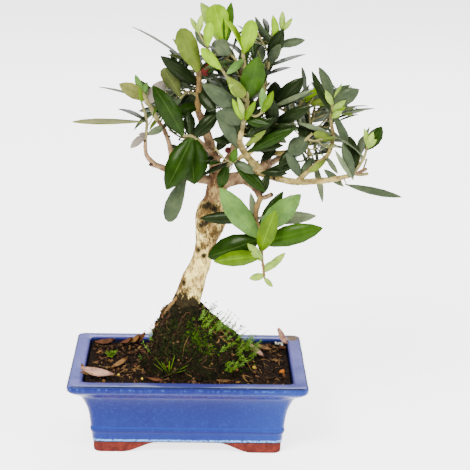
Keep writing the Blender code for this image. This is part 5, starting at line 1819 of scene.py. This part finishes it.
# Where the photograph was taken from, and the places where it shows sky through or beside the crown,
# as x, z and radius of discs above the pot's long middle
EYE = (5.0, -1312.4, 540.1)
OPENINGS = (
    (43.7, 163.6, 5), (48, 166.5, 4), (159, 226, 6), (151.5, 229.4, 4), (-70, 338, 33.3), (-35, 327, 14.2),
    (-28, 310, 5.8), (-78, 286, 22.5), (-56, 279, 9.2), (91, 357, 15.8), (83, 328, 14.2), (99, 334, 17.5),
    (70, 317, 5.8), (126, 331, 20.8), (148, 318, 16.7), (133, 299, 5), (127, 274, 7.5), (166, 256, 16.7),
    (155, 236, 9.2), (101, 284, 5.8), (87, 260, 5.8), (-30, 252, 10.8), (-2, 346, 5), (134, 275, 6),
    (139, 269, 6), (140, 229, 7), (108, 284, 5), (78, 288, 4.2), (97, 286, 3.3), (105, 287, 3.8), (124, 282, 4.2),
    (129, 277, 4.2), (72, 272, 2.9), (93, 258, 3.4), (78, 258, 3.4), (122, 251, 3.4), (117, 238, 5.1),
    (106, 235, 3.4), (84, 236, 4.2), (-28, 343, 9), (4, 337, 5), (-47, 297, 5), (-53, 296, 4.2), (-41, 291, 4.2),
    (-50, 286, 4.2), (74, 312, 3.3), (83, 311, 3.3), (57, 355, 3.3),
)


@dataclass(frozen=True)
class TwigRule:
    """How one kind of twig grows: its radius, how far it keeps clear, its tries, angle and length."""

    radius: float
    clear: float
    attempts: int
    spread: tuple
    length: tuple


@dataclass(frozen=True)
class GrowthRule:
    """The seeded rule that twigs and leaves grow by, the same as in the solids, with its finer twigs."""

    route_step: float = 11.0
    gap: float = 0.0003
    key_bend: tuple = (-0.02, 0.07)
    leaf_bend: tuple = (-0.02, 0.08)
    leaf_length: tuple = (0.8, 1.15)
    leaf_width: tuple = (0.19, 0.31)
    leaf_spread: tuple = (38.0, 68.0)
    leaf_turn: float = 0.3
    leaf_lift: float = 0.0009
    root_depth: float = 0.0013
    blade_start: float = 0.25
    clear: float = 0.0005
    twig_taper: float = 0.8
    twig_rise: float = 0.25
    first_twig: float = 0.15
    twig_stretch: float = 0.8
    outer_pair: float = 0.85
    tip_length: float = 0.75
    tip_width: float = 0.26
    fine_scale: tuple = (0.55, 0.85)
    fine_reach: tuple = (0.1, 1.0)
    side_twig: TwigRule = TwigRule(0.0009, 0.0005, 8, (45.0, 75.0), (13.0, 25.0))
    fine_twig: TwigRule = TwigRule(0.0006, 0.0002, 14, (30.0, 75.0), (7.0, 15.0))


RULE = GrowthRule()


class Space:
    """The bodies placed so far, so that a new one can be tested against them."""

    def __init__(self) -> None:
        """Start with nothing placed."""
        self.taken: list[tuple[str, BVHTree]] = []

    def add(self, owner: str, tree: BVHTree) -> None:
        """Keep a body's search tree under its owner's name."""
        self.taken.append((owner, tree))

    def is_free(self, tree: BVHTree, but_not: str | None = None) -> bool:
        """Whether a tree crosses no body, apart from the bodies of one owner."""
        return all(owner == but_not or not tree.overlap(other) for owner, other in self.taken)


@dataclass(frozen=True)
class LeafFrame:
    """Where a leaf lies, and how its blade is cut, bent and twisted."""

    root: Vector
    tip: Vector
    across: Vector
    upper: Vector
    width: float
    bend: float
    fold: float = 0.25
    twist: float = 0.0
    sway: float = 0.0
    base: float = 0.95
    end: float = 0.75

    def half_width(self, t: float) -> float:
        """Half the blade's width.

        Args:
            t: Share of its length.

        Returns:
            The half width.
        """
        inner = between(0.0, t, 1.0)
        widest = self.base / (self.base + self.end)
        blade = (inner / widest) ** self.base * ((1.0 - inner) / (1.0 - widest)) ** self.end
        return max(0.00042 if t < 0.5 else 0.00012, self.width * 0.5 * blade)

    def point(self, t: float, side: float, lift: float) -> Vector:
        """A point of the leaf.

        Args:
            t: Share of its length.
            side: Share of its half width.
            lift: Distance out of its upper side.

        Returns:
            The point.
        """
        bow = 4.0 * t * (1.0 - t)
        turn = self.twist * (t - 0.4)
        across = self.across * math.cos(turn) + self.upper * math.sin(turn)
        upper = self.upper * math.cos(turn) - self.across * math.sin(turn)
        half = self.half_width(t)
        arch = self.upper * (self.bend * bow) + self.across * (self.sway * bow)
        fold = upper * (abs(side) * half * self.fold)
        return self.root.lerp(self.tip, t) + arch + across * (side * half) + fold + upper * lift


def leaf_frame(root: Vector, tip: Vector, width: float, facing: Vector, bend: float) -> LeafFrame:
    """Set a leaf out from its root and tip.

    Args:
        root: Where it springs from.
        tip: Where it ends.
        width: Its full width.
        facing: Where its upper side is turned.
        bend: How far its middle arches up.

    Returns:
        The leaf's frame.
    """
    along = (tip - root).normalized()
    upper = facing - along * facing.dot(along)
    if upper.length < 0.05:
        upper = along.orthogonal()
    upper.normalize()
    return LeafFrame(root - along * RULE.root_depth, tip, along.cross(upper), upper, width, bend)


def leaf_tree(frame: LeafFrame, start: float, margin: float) -> BVHTree:
    """A search tree over sheets on both sides of a leaf.

    Args:
        frame: The leaf.
        start: The share of its length where they start.
        margin: How far they stand off.

    Returns:
        The tree.
    """
    bm = bmesh.new()
    bmesh.ops.create_grid(bm, x_segments=2, y_segments=4, size=1.0)
    bmesh.ops.duplicate(bm, geom=bm.faces[:])
    for number, vert in enumerate(bm.verts):
        side = vert.co.x
        t = start + (1.0 - start) * (vert.co.y + 1.0) / 2.0
        lift = margin if number < len(bm.verts) // 2 else -margin
        vert.co = frame.point(t, side, lift) + frame.across * side * margin
    tree = BVHTree.FromBMesh(bm)
    bm.free()
    return tree


def point_along(places: Sequence[Vector], share: float) -> tuple[Vector, Vector]:
    """Find a place along a route.

    Args:
        places: The route.
        share: How far along.

    Returns:
        The point and the direction there.
    """
    lengths = [(end - start).length for start, end in zip(places, places[1:])]
    left = sum(lengths) * between(0.0, share, 1.0)
    for start, end, length in zip(places, places[1:], lengths):
        if left <= length or end is places[-1]:
            return start.lerp(end, min(1.0, left / length)), (end - start).normalized()
        left -= length


def nearest_place(places: Sequence[Vector], wanted: Vector) -> Vector:
    """The point of a route that lies nearest to a wanted point."""
    return min((point_along(places, step / 40)[0] for step in range(41)), key=lambda point: (point - wanted).length)


def taper(radii: Sequence[float], count: int) -> list[float]:
    """Radii that fall evenly from one to the other over a number of rings."""
    return [radii[0] + (radii[1] - radii[0]) * number / (count - 1) for number in range(count)]


@dataclass
class GrownTwig:
    """A twig: its places, its radius at both ends, its wood, and whether it bears anything."""

    places: list[Vector]
    radii: Sequence[float]
    wood: Wood
    bears: bool = True


@dataclass
class Spray:
    """Grows one mass from its bough's tip: stem and shoots, key leaves, twigs and leaves, then finer twigs."""

    mass: Mass
    tip: Vector
    direction: Vector
    space: Space
    routes: list[list[Vector]] = field(default_factory=list)
    rule_twigs: list[tuple[list[Vector], GrownTwig]] = field(default_factory=list)
    twigs: list[GrownTwig] = field(default_factory=list)
    leaves: list[tuple[LeafFrame, Tone]] = field(default_factory=list)
    tone: Tone = DARK
    middle_tones = [DARK] * 5 + [DEEP] * 3 + [SAGE] * 4 + [GREY] * 2 + [OLIVE, FRESH]
    round_tones = (OLIVE, LIME, GREY)
    airy_tones = [SAGE] * 4 + [GREY] * 7 + [OLIVE] * 5 + [STRAW] + [DARK] * 2
    airy_masses = ("foliage_right_middle", "foliage_right_upper", "foliage_right_top", "foliage_right_tip")
    tip_tones = [DARK] * 2 + [DEEP] * 2 + [FRESH] * 2 + [LIGHT] + [SAGE] * 3 + [OLIVE] * 2

    def __post_init__(self) -> None:
        """Choose the mass's own tones."""
        self.tones = random.Random(self.mass.seed + 5000)
        self.airy = self.mass.name in self.airy_masses
        self.palette = self.airy_tones if self.airy else self.middle_tones
        self.shoots = [Shoot(*row) for row in self.mass.shoots]

    def deal_tone(self, point: Vector) -> None:
        """Deal out the tone of the next leaves, lighter near the crown's outside.

        Args:
            point: Where they spring from.
        """
        low, high = (flat(corner) for corner in self.mass.space)
        outer = (point - (low + high) / 2).length / ((high - low).length / 2) > 0.62
        self.tone = self.tones.choice(self.tip_tones if outer and not self.airy else self.palette)

    def add_shoots(self) -> None:
        """The stem, from its bough's tip, and the shoots that spring from it."""
        for shoot in self.shoots:
            route = [Vector(point) for point in shoot.route]
            radii = [radius * MM for radius in shoot.radii]
            if self.routes:
                route[0] = nearest_place(self.routes[0], route[0] * MM) / MM
            else:
                route[0] = (self.tip + self.direction * RULE.gap) / MM
            smooth = curve(route, 2.0)
            if not self.routes:
                smooth.insert(0, self.tip - self.direction * 0.002)
            wood = Wood.GREEN if self.routes or radii[0] <= 0.0019 else Wood.BROWN
            places = curve(route, RULE.route_step)
            self.routes.append(places)
            self.twigs.append(GrownTwig(smooth, [radius * 1.2 for radius in radii], wood))
            self.space.add(self.mass.name, BVHTree.FromBMesh(tube(places, taper(radii, len(places)), 3)))

    def add_key_leaves(self) -> None:
        """The leaves that the crown's outline depends on."""
        chance = random.Random(self.mass.seed)
        for shoot, places in zip(self.shoots, self.routes):
            for leaf in (KeyLeaf(*row) for row in shoot.leaves):
                root, _ = point_along(places, leaf.at)
                target = flat(leaf.tip)
                bend = (target - root).length * chance.uniform(*RULE.key_bend)
                frame = leaf_frame(root, target, leaf.width * MM, Vector(leaf.facing.value), bend)
                if self.clears_others(frame):
                    self.add_leaf(frame, leaf.tone, leaf.blunt)

    def add_wood_leaves(self, wood: "list[tuple[Vector, float]]") -> None:
        """Leaves that spring from old wood on short stalks, among the boughs.

        Args:
            wood: Places and radii along the boughs.
        """
        for *ends, width, tone in WOOD_LEAVES.get(self.mass.name, ()):
            root, tip = (flat(end) for end in ends)
            near, radius = min(wood, key=lambda pair: (pair[0] - root).length - pair[1])
            start = near + (root - near).normalized() * radius * 0.6
            if (root - start).length > 0.001:
                foot = Vector(ends[0])
                stalk = curve([start / MM, (start / MM + foot) / 2.0, foot], 2.5)
                self.twigs.append(GrownTwig(stalk, (0.0006, 0.0004), Wood.GREEN))
            self.add_leaf(leaf_frame(root, tip, width * MM, Vector(Facing.FRONT.value), 0.001), tone)

    def clears_others(self, frame: LeafFrame) -> bool:
        """Whether a leaf touches no limb and no other mass."""
        return self.space.is_free(leaf_tree(frame, 0.0, RULE.clear), self.mass.name)

    def add_leaf(self, frame: LeafFrame, tone: Tone, blunt: bool = False) -> None:
        """Keep a leaf, give it its own fold, twist and outline, and note the space it takes.

        Args:
            frame: The leaf.
            tone: Its tone.
            blunt: Whether its end is round.
        """
        self.space.add(self.mass.name, leaf_tree(frame, RULE.blade_start, RULE.clear))
        length = (frame.tip - frame.root).length
        share = between(0.0, (frame.width / length - 0.22) / 0.12, 1.0) if tone in self.round_tones else 0.0
        share = 1.0 if blunt else share
        shaped = replace(
            frame,
            width=frame.width * 1.12,
            fold=self.tones.uniform(0.1, 0.34),
            twist=self.tones.uniform(-0.3, 0.3),
            sway=length * self.tones.uniform(-0.025, 0.025),
            base=0.95 + 0.2 * share,
            end=0.84 - 0.32 * share,
        )
        self.leaves.append((shaped, tone))

    def try_leaf(self, frame: LeafFrame, clear: float) -> bool:
        """Add a leaf of the rule where it stays in the mass's space and its blade clears everything.

        Args:
            frame: The leaf.
            clear: How far it keeps from others.

        Returns:
            Whether it found room.
        """
        inside = all(self.holds(frame.root.lerp(frame.tip, share)) for share in (0.6, 0.8, 1.0))
        if not inside or not self.clears_others(frame):
            return False
        if not self.space.is_free(leaf_tree(frame, RULE.blade_start, clear)):
            return False
        self.add_leaf(frame, self.tones.choice(self.palette) if self.tones.random() < 0.3 else self.tone)
        return True

    def holds(self, point: Vector) -> bool:
        """Test a point against the mass's own space and the openings in the crown.

        Args:
            point: The point.

        Returns:
            Whether a leaf may reach it.
        """
        low, high = self.mass.space
        if not all(low[axis] * MM <= point[axis] <= high[axis] * MM for axis in range(3)):
            return False
        eye = flat(EYE)
        seen = eye + (point - eye) * (eye.y / (eye.y - point.y))
        return all(math.hypot(seen.x - x * MM, seen.z - z * MM) > radius * MM for x, z, radius in OPENINGS)

    def add_pair(
        self, root: Vector, direction: Vector, turn: float, length: float, chance: random.Random, clear: float
    ) -> int:
        """Add two opposite leaves at a node.

        Args:
            root: The node.
            direction: The shoot's direction there.
            turn: How the pair is turned about the shoot.
            length: The leaves' length in millimetres.
            chance: The stream of random numbers.
            clear: How far they keep from others.

        Returns:
            How many of the two found room.
        """
        side = direction.orthogonal().normalized()
        grown = 0
        for half in (0.0, math.pi):
            shift = chance.uniform(-RULE.leaf_turn, RULE.leaf_turn)
            out = Matrix.Rotation(turn + half + shift, 3, direction) @ side
            spread = math.radians(chance.uniform(*RULE.leaf_spread))
            along = direction * math.cos(spread) + out * math.sin(spread)
            leaf_length = length * chance.uniform(*RULE.leaf_length) * MM
            width = leaf_length * chance.uniform(*RULE.leaf_width) * (0.72 if self.airy else 1.0)
            bend = leaf_length * chance.uniform(*RULE.leaf_bend)
            whim = Vector([self.tones.uniform(-1.0, 1.0) for _ in range(3)])
            facing = direction + UP * 0.6 + whim * 0.9
            grown += self.try_leaf(leaf_frame(root, root + along * leaf_length, width, facing, bend), clear)
        return grown

    def add_rule_leaves(self) -> None:
        """Pairs of leaves along the shoots, each pair a quarter turn on from the last."""
        chance = random.Random(self.mass.seed + 1000)
        for places in self.routes:
            for number in range(self.mass.pairs):
                root, direction = point_along(places, (number + 0.7) / (self.mass.pairs + 0.3))
                turn = number * math.pi / 2 + chance.uniform(-RULE.leaf_turn, RULE.leaf_turn)
                self.deal_tone(root)
                self.add_pair(root, direction, turn, self.mass.leaf_length, chance, RULE.clear)

    def add_rule_twigs(self) -> None:
        """Side twigs set round the shoots by the golden angle."""
        attempts = RULE.side_twig.attempts
        for number in range(self.mass.twigs):
            for attempt in range(attempts):
                chance = random.Random(self.mass.seed * 1000 + number * attempts + attempt)
                if self.try_twig(number, number + attempt, chance):
                    break

    def try_twig(self, number: int, turns: int, chance: random.Random) -> bool:
        """Grow one side twig with two pairs and a tip leaf, where there is room.

        Args:
            number: The twig's number in its mass.
            turns: How many golden angles it is turned by.
            chance: The stream of random numbers.

        Returns:
            Whether it found room.
        """
        places = self.routes[number % len(self.routes)]
        share = RULE.first_twig + RULE.twig_stretch * (number + 0.5) / self.mass.twigs
        turn = GOLDEN_ANGLE * turns
        route, heading, end_heading = self.set_out(places, share, turn, chance, RULE.side_twig)
        if not self.add_twig(route, RULE.side_twig):
            return False
        root, middle, end = route
        twig = self.twigs[-1]
        self.rule_twigs.append((route, twig))
        size = self.mass.leaf_length
        self.deal_tone(middle)
        grown = self.add_pair(middle, heading, turn, size, chance, RULE.clear)
        outer, quarter = root.lerp(end, RULE.outer_pair), turn + math.pi / 2
        grown += self.add_pair(outer, end_heading, quarter, size * RULE.outer_pair, chance, RULE.clear)
        tip = end + end_heading * size * RULE.tip_length * MM
        leaf = leaf_frame(end, tip, size * RULE.tip_width * MM, UP, RULE.leaf_lift)
        twig.bears = grown + self.try_leaf(leaf, RULE.clear) > 0
        return True

    def set_out(
        self, places: list[Vector], share: float, turn: float, chance: random.Random, kind: TwigRule
    ) -> tuple[list[Vector], Vector, Vector]:
        """Set out a twig.

        Args:
            places: The route that it springs from.
            share: How far along.
            turn: How it is turned about the route.
            chance: The stream of random numbers.
            kind: Its rule.

        Returns:
            Its root, middle and end, and its directions at the root and the end.
        """
        root, direction = point_along(places, share)
        side = Matrix.Rotation(turn, 3, direction) @ direction.orthogonal().normalized()
        spread = math.radians(chance.uniform(*kind.spread))
        heading = direction * math.cos(spread) + side * math.sin(spread)
        length = chance.uniform(*kind.length) * MM
        middle = root + heading * length * 0.5
        end = root + heading * length + Vector((0.0, 0.0, RULE.twig_rise * length))
        return [root, middle, end], heading, (end - middle).normalized()

    def add_twig(self, route: list[Vector], kind: TwigRule) -> bool:
        """Add a twig where it stays in the mass's space and touches nothing past its root.

        Args:
            route: Its root, middle and end.
            kind: Its rule.

        Returns:
            Whether it found room.
        """
        root, middle, end = route
        clear_of_root = root + (middle - root).normalized() * kind.radius * 4.5
        tree = BVHTree.FromBMesh(tube([clear_of_root, middle, end], [kind.radius + kind.clear] * 3, 3))
        if not self.holds(end) or not self.space.is_free(tree):
            return False
        self.space.add(self.mass.name, tree)
        smooth = curve([point / MM for point in route], 2.5)
        self.twigs.append(GrownTwig(smooth, (kind.radius, kind.radius * RULE.twig_taper), Wood.GREEN))
        return True

    def add_fine_twigs(self) -> None:
        """Finer twigs on the shoots and side twigs, each with small pairs of leaves."""
        carriers = self.rule_twigs * 2 + [(places, self.twigs[0]) for places in self.routes]
        attempts = RULE.fine_twig.attempts
        for number in range(self.mass.fine):
            for attempt in range(attempts):
                chance = random.Random(self.mass.seed * 7000 + number * attempts + attempt)
                places, carrier = carriers[chance.randrange(len(carriers))]
                if self.try_fine_twig(places, number + attempt, chance):
                    carrier.bears = True
                    break
        self.twigs = [twig for twig in self.twigs if twig.bears]

    def try_fine_twig(self, places: list[Vector], turns: int, chance: random.Random) -> bool:
        """Grow one fine twig with two small pairs and a tip leaf, where there is room for any leaf.

        Args:
            places: The route that it springs from.
            turns: How many golden angles it is turned by.
            chance: The stream of random numbers.

        Returns:
            Whether it found room.
        """
        share = chance.uniform(*RULE.fine_reach)
        turn = GOLDEN_ANGLE * turns
        route, heading, end_heading = self.set_out(places, share, turn, chance, RULE.fine_twig)
        _, middle, end = route
        size = self.mass.leaf_length * chance.uniform(*RULE.fine_scale)
        tip = end + end_heading * size * MM
        if not self.holds(tip) or not self.add_twig(route, RULE.fine_twig):
            return False
        self.deal_tone(middle)
        clear = RULE.fine_twig.clear
        grown = self.add_pair(end, end_heading, turn + math.pi / 2, size, chance, clear)
        grown += self.add_pair(middle, heading, turn, size, chance, clear)
        grown += self.try_leaf(leaf_frame(end, tip, size * RULE.leaf_width[0] * MM, UP, RULE.leaf_lift), clear)
        self.twigs[-1].bears = grown > 0
        return grown > 0


@dataclass
class Crown:
    """The whole crown: every mass of foliage, its twigs in one piece and its leaves in one piece a tone."""

    rows: tuple = (0.0, 0.08, 0.22, 0.44, 0.67, 0.86, 0.965, 1.0)
    columns: tuple = (-1.0, -0.045, 0.045, 1.0)
    thickness: float = 0.0004
    stem_radius: float = 0.0019
    sprays: list[Spray] = field(default_factory=list)

    def leaf_stamp(self) -> Stamp:
        """The pattern of every leaf: x across, y along and z through its thickness.

        Returns:
            The stamp.
        """
        bm = bmesh.new()
        across, along = len(self.columns) - 1, len(self.rows) - 1
        bmesh.ops.create_grid(bm, x_segments=across, y_segments=along, size=1.0)
        for vert in bm.verts:
            column, row = (round((part + 1.0) / 2.0 * count) for part, count in zip(vert.co, (across, along)))
            vert.co = (self.columns[column], self.rows[row], 0.0)
        bmesh.ops.solidify(bm, geom=bm.faces[:], thickness=1.0)
        for face in bm.faces:
            heights = [abs(vert.co.z) for vert in face.verts]
            middle = face.calc_center_median()
            rim = min(heights) < 0.5 < max(heights) or middle.y < self.rows[1] or abs(middle.x) < 0.05
            face.material_index = 2 if rim else int(max(heights) > 0.5)
        for vert in bm.verts:
            vert.co.z = -abs(vert.co.z)
        return Stamp(bm)

    def grow(self) -> None:
        """Grow every mass in its own space, the leaves of the outline first and the finest twigs last."""
        space = Space()
        wood = []
        ends = {}
        for limb in (TRUNK, *BOUGHS):
            wood += zip(curve(limb.route, 3.0), thickness(limb.route, 3.0))
            places = curve(limb.route, RULE.route_step)
            radii = thickness(limb.route, RULE.route_step)
            space.add(limb.name, BVHTree.FromBMesh(tube(places, radii, 12)))
            ends[limb.name] = places[-1], (places[-1] - places[-2]).normalized()
        self.sprays = [Spray(mass, *ends[mass.carrier], space) for mass in MASSES]
        for spray in self.sprays:
            spray.add_shoots()
        for spray in self.sprays:
            spray.add_key_leaves()
            spray.add_wood_leaves(wood)
        for spray in self.sprays:
            spray.add_rule_leaves()
            spray.add_rule_twigs()
        for spray in self.sprays:
            spray.add_fine_twigs()
        LOG.info("leaves in all: %d", sum(len(spray.leaves) for spray in self.sprays))

    def twig_piece(self, materials: Sequence[Material]) -> None:
        """Join every shoot and twig.

        Args:
            materials: The finishes of Wood.
        """
        joined = bmesh.new()
        for twig in (twig for spray in self.sprays for twig in spray.twigs):
            stem = twig.radii[0] >= self.stem_radius
            body = tube(twig.places, taper(twig.radii, len(twig.places)), 14 if stem else 7)
            body.normal_update()
            for vert in body.verts if stem else ():
                vert.co += vert.normal * uneven(vert.co, 0.0035, 2) * 0.0006
            gather(joined, set_material(body, WOOD.index(twig.wood)))
        make_piece(joined, "shoots_and_twigs", materials, [mass.name for mass in MASSES])

    def build(self, wood: Sequence[Material]) -> None:
        """Grow the crown and build its pieces.

        Args:
            wood: The finishes of Wood, for its twigs.
        """
        self.grow()
        self.twig_piece(wood)
        stamp = self.leaf_stamp()
        leaves = [leaf for spray in self.sprays for leaf in spray.leaves]
        for tone in Tone:
            joined = bmesh.new()
            for frame in (frame for frame, dealt in leaves if dealt is tone):
                stamp.press(joined, lambda co: frame.point(co.y, co.x, co.z * self.thickness))
            name = tone.name.lower()
            nodes = [mass.name for mass in MASSES]
            make_piece(joined, f"leaves_{name}", tone.value.materials(f"leaf_{name}"), nodes)


# Studio


@dataclass
class Studio:
    """A white floor, soft light and the camera at the photograph's angle."""

    floor_half: float = 6.0
    floor_glow: float = 2.8
    sky: tuple = (0.97, 0.98, 1.0, 1.0)
    sky_strength: float = 0.5
    aim_height: float = 0.18
    lamps: tuple = (
        ("key_light", (-0.8, -1.4, 1.6), 0.9, 98.0), ("fill_light", (1.6, -1.3, 1.0), 1.2, 46.0),
        ("back_light", (0.3, 1.7, 1.5), 1.4, 46.0),
    )
    lens: float = 122.32
    sensor: float = 36.0
    right: Point = (0.99960582, -0.0198461, 0.01985784)
    down: Point = (0.01388551, -0.26526312, -0.96407607)
    ahead: Point = (0.02440071, 0.96397179, -0.26488299)

    def floor(self) -> None:
        """Lay the floor, which isn't part of the object."""
        bm = bmesh.new()
        bmesh.ops.create_grid(bm, x_segments=1, y_segments=1, size=self.floor_half)
        mesh = bpy.data.meshes.new("studio_floor")
        bm.to_mesh(mesh)
        bm.free()
        graph = Graph("white_floor")
        mesh.materials.append(graph.dress((250, 250, 250), 0.9, Emission_Strength=self.floor_glow))
        put("studio_floor", mesh)

    def lights(self) -> None:
        """Hang the large soft lamps, each a name, a place from what it is turned to, a size and a power."""
        aim = plant_place() + Vector((0.0, 0.0, self.aim_height))
        for name, position, size, power in self.lamps:
            light = bpy.data.lights.new(name, "AREA")
            light.energy = power
            light.size = size
            lamp = put(name, light)
            lamp.location = aim + Vector(position)
            lamp.rotation_euler = (-Vector(position)).to_track_quat("-Z", "Y").to_euler()

    def camera(self) -> None:
        """Set up the camera where the photograph was taken from."""
        data = bpy.data.cameras.new("photo_camera")
        data.lens = self.lens
        data.sensor_width = self.sensor
        data.sensor_fit = "HORIZONTAL"
        data.clip_start = 0.05
        camera = put("photo_camera", data)
        turn = Matrix((self.right, [-part for part in self.down], [-part for part in self.ahead])).transposed()
        camera.matrix_world = Matrix.Translation(plant_place() + flat(EYE)) @ turn.to_4x4()
        bpy.context.scene.camera = camera

    def build(self) -> None:
        """Set up the floor, the lights and the camera."""
        self.floor()
        self.lights()
        world = bpy.data.worlds.new("studio_world")
        world.use_nodes = True
        background = world.node_tree.nodes["Background"]
        background.inputs["Color"].default_value = self.sky
        background.inputs["Strength"].default_value = self.sky_strength
        bpy.context.scene.world = world
        self.camera()


def main() -> None:
    """Build every piece in order; each piece's triangle count is logged as it is made."""
    logging.basicConfig(level=logging.INFO, format="%(message)s")
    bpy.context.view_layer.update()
    GlazedPot().build()
    ground = [kind.value.material() for kind in GROUND]
    litter = Litter(random.Random(17))
    soil = SoilBed(litter)
    soil.build()
    mound = RootMound(litter)
    mound.build()
    soil.scatter(lambda x, y: mound.height(x, y, soil))
    soil.fallen()
    litter.finish("soil_litter", ground)
    mound.cover()
    mound.roots()
    litter.finish("mound_roots", ground)
    mound.plant_moss(mound.bright_share, mound.bright_tufts, MOSS)
    mound.plant_moss(mound.dark_share, mound.dark_tufts, DARK_MOSS)
    mound.plant_sprigs()
    litter.finish("mound_moss", ground)
    TrunkForm().build()
    wood = [kind.value.material() for kind in WOOD]
    BoughWork().build(wood)
    Crown().build(wood)
    Studio().build()


if __name__ == "__main__":
    main()
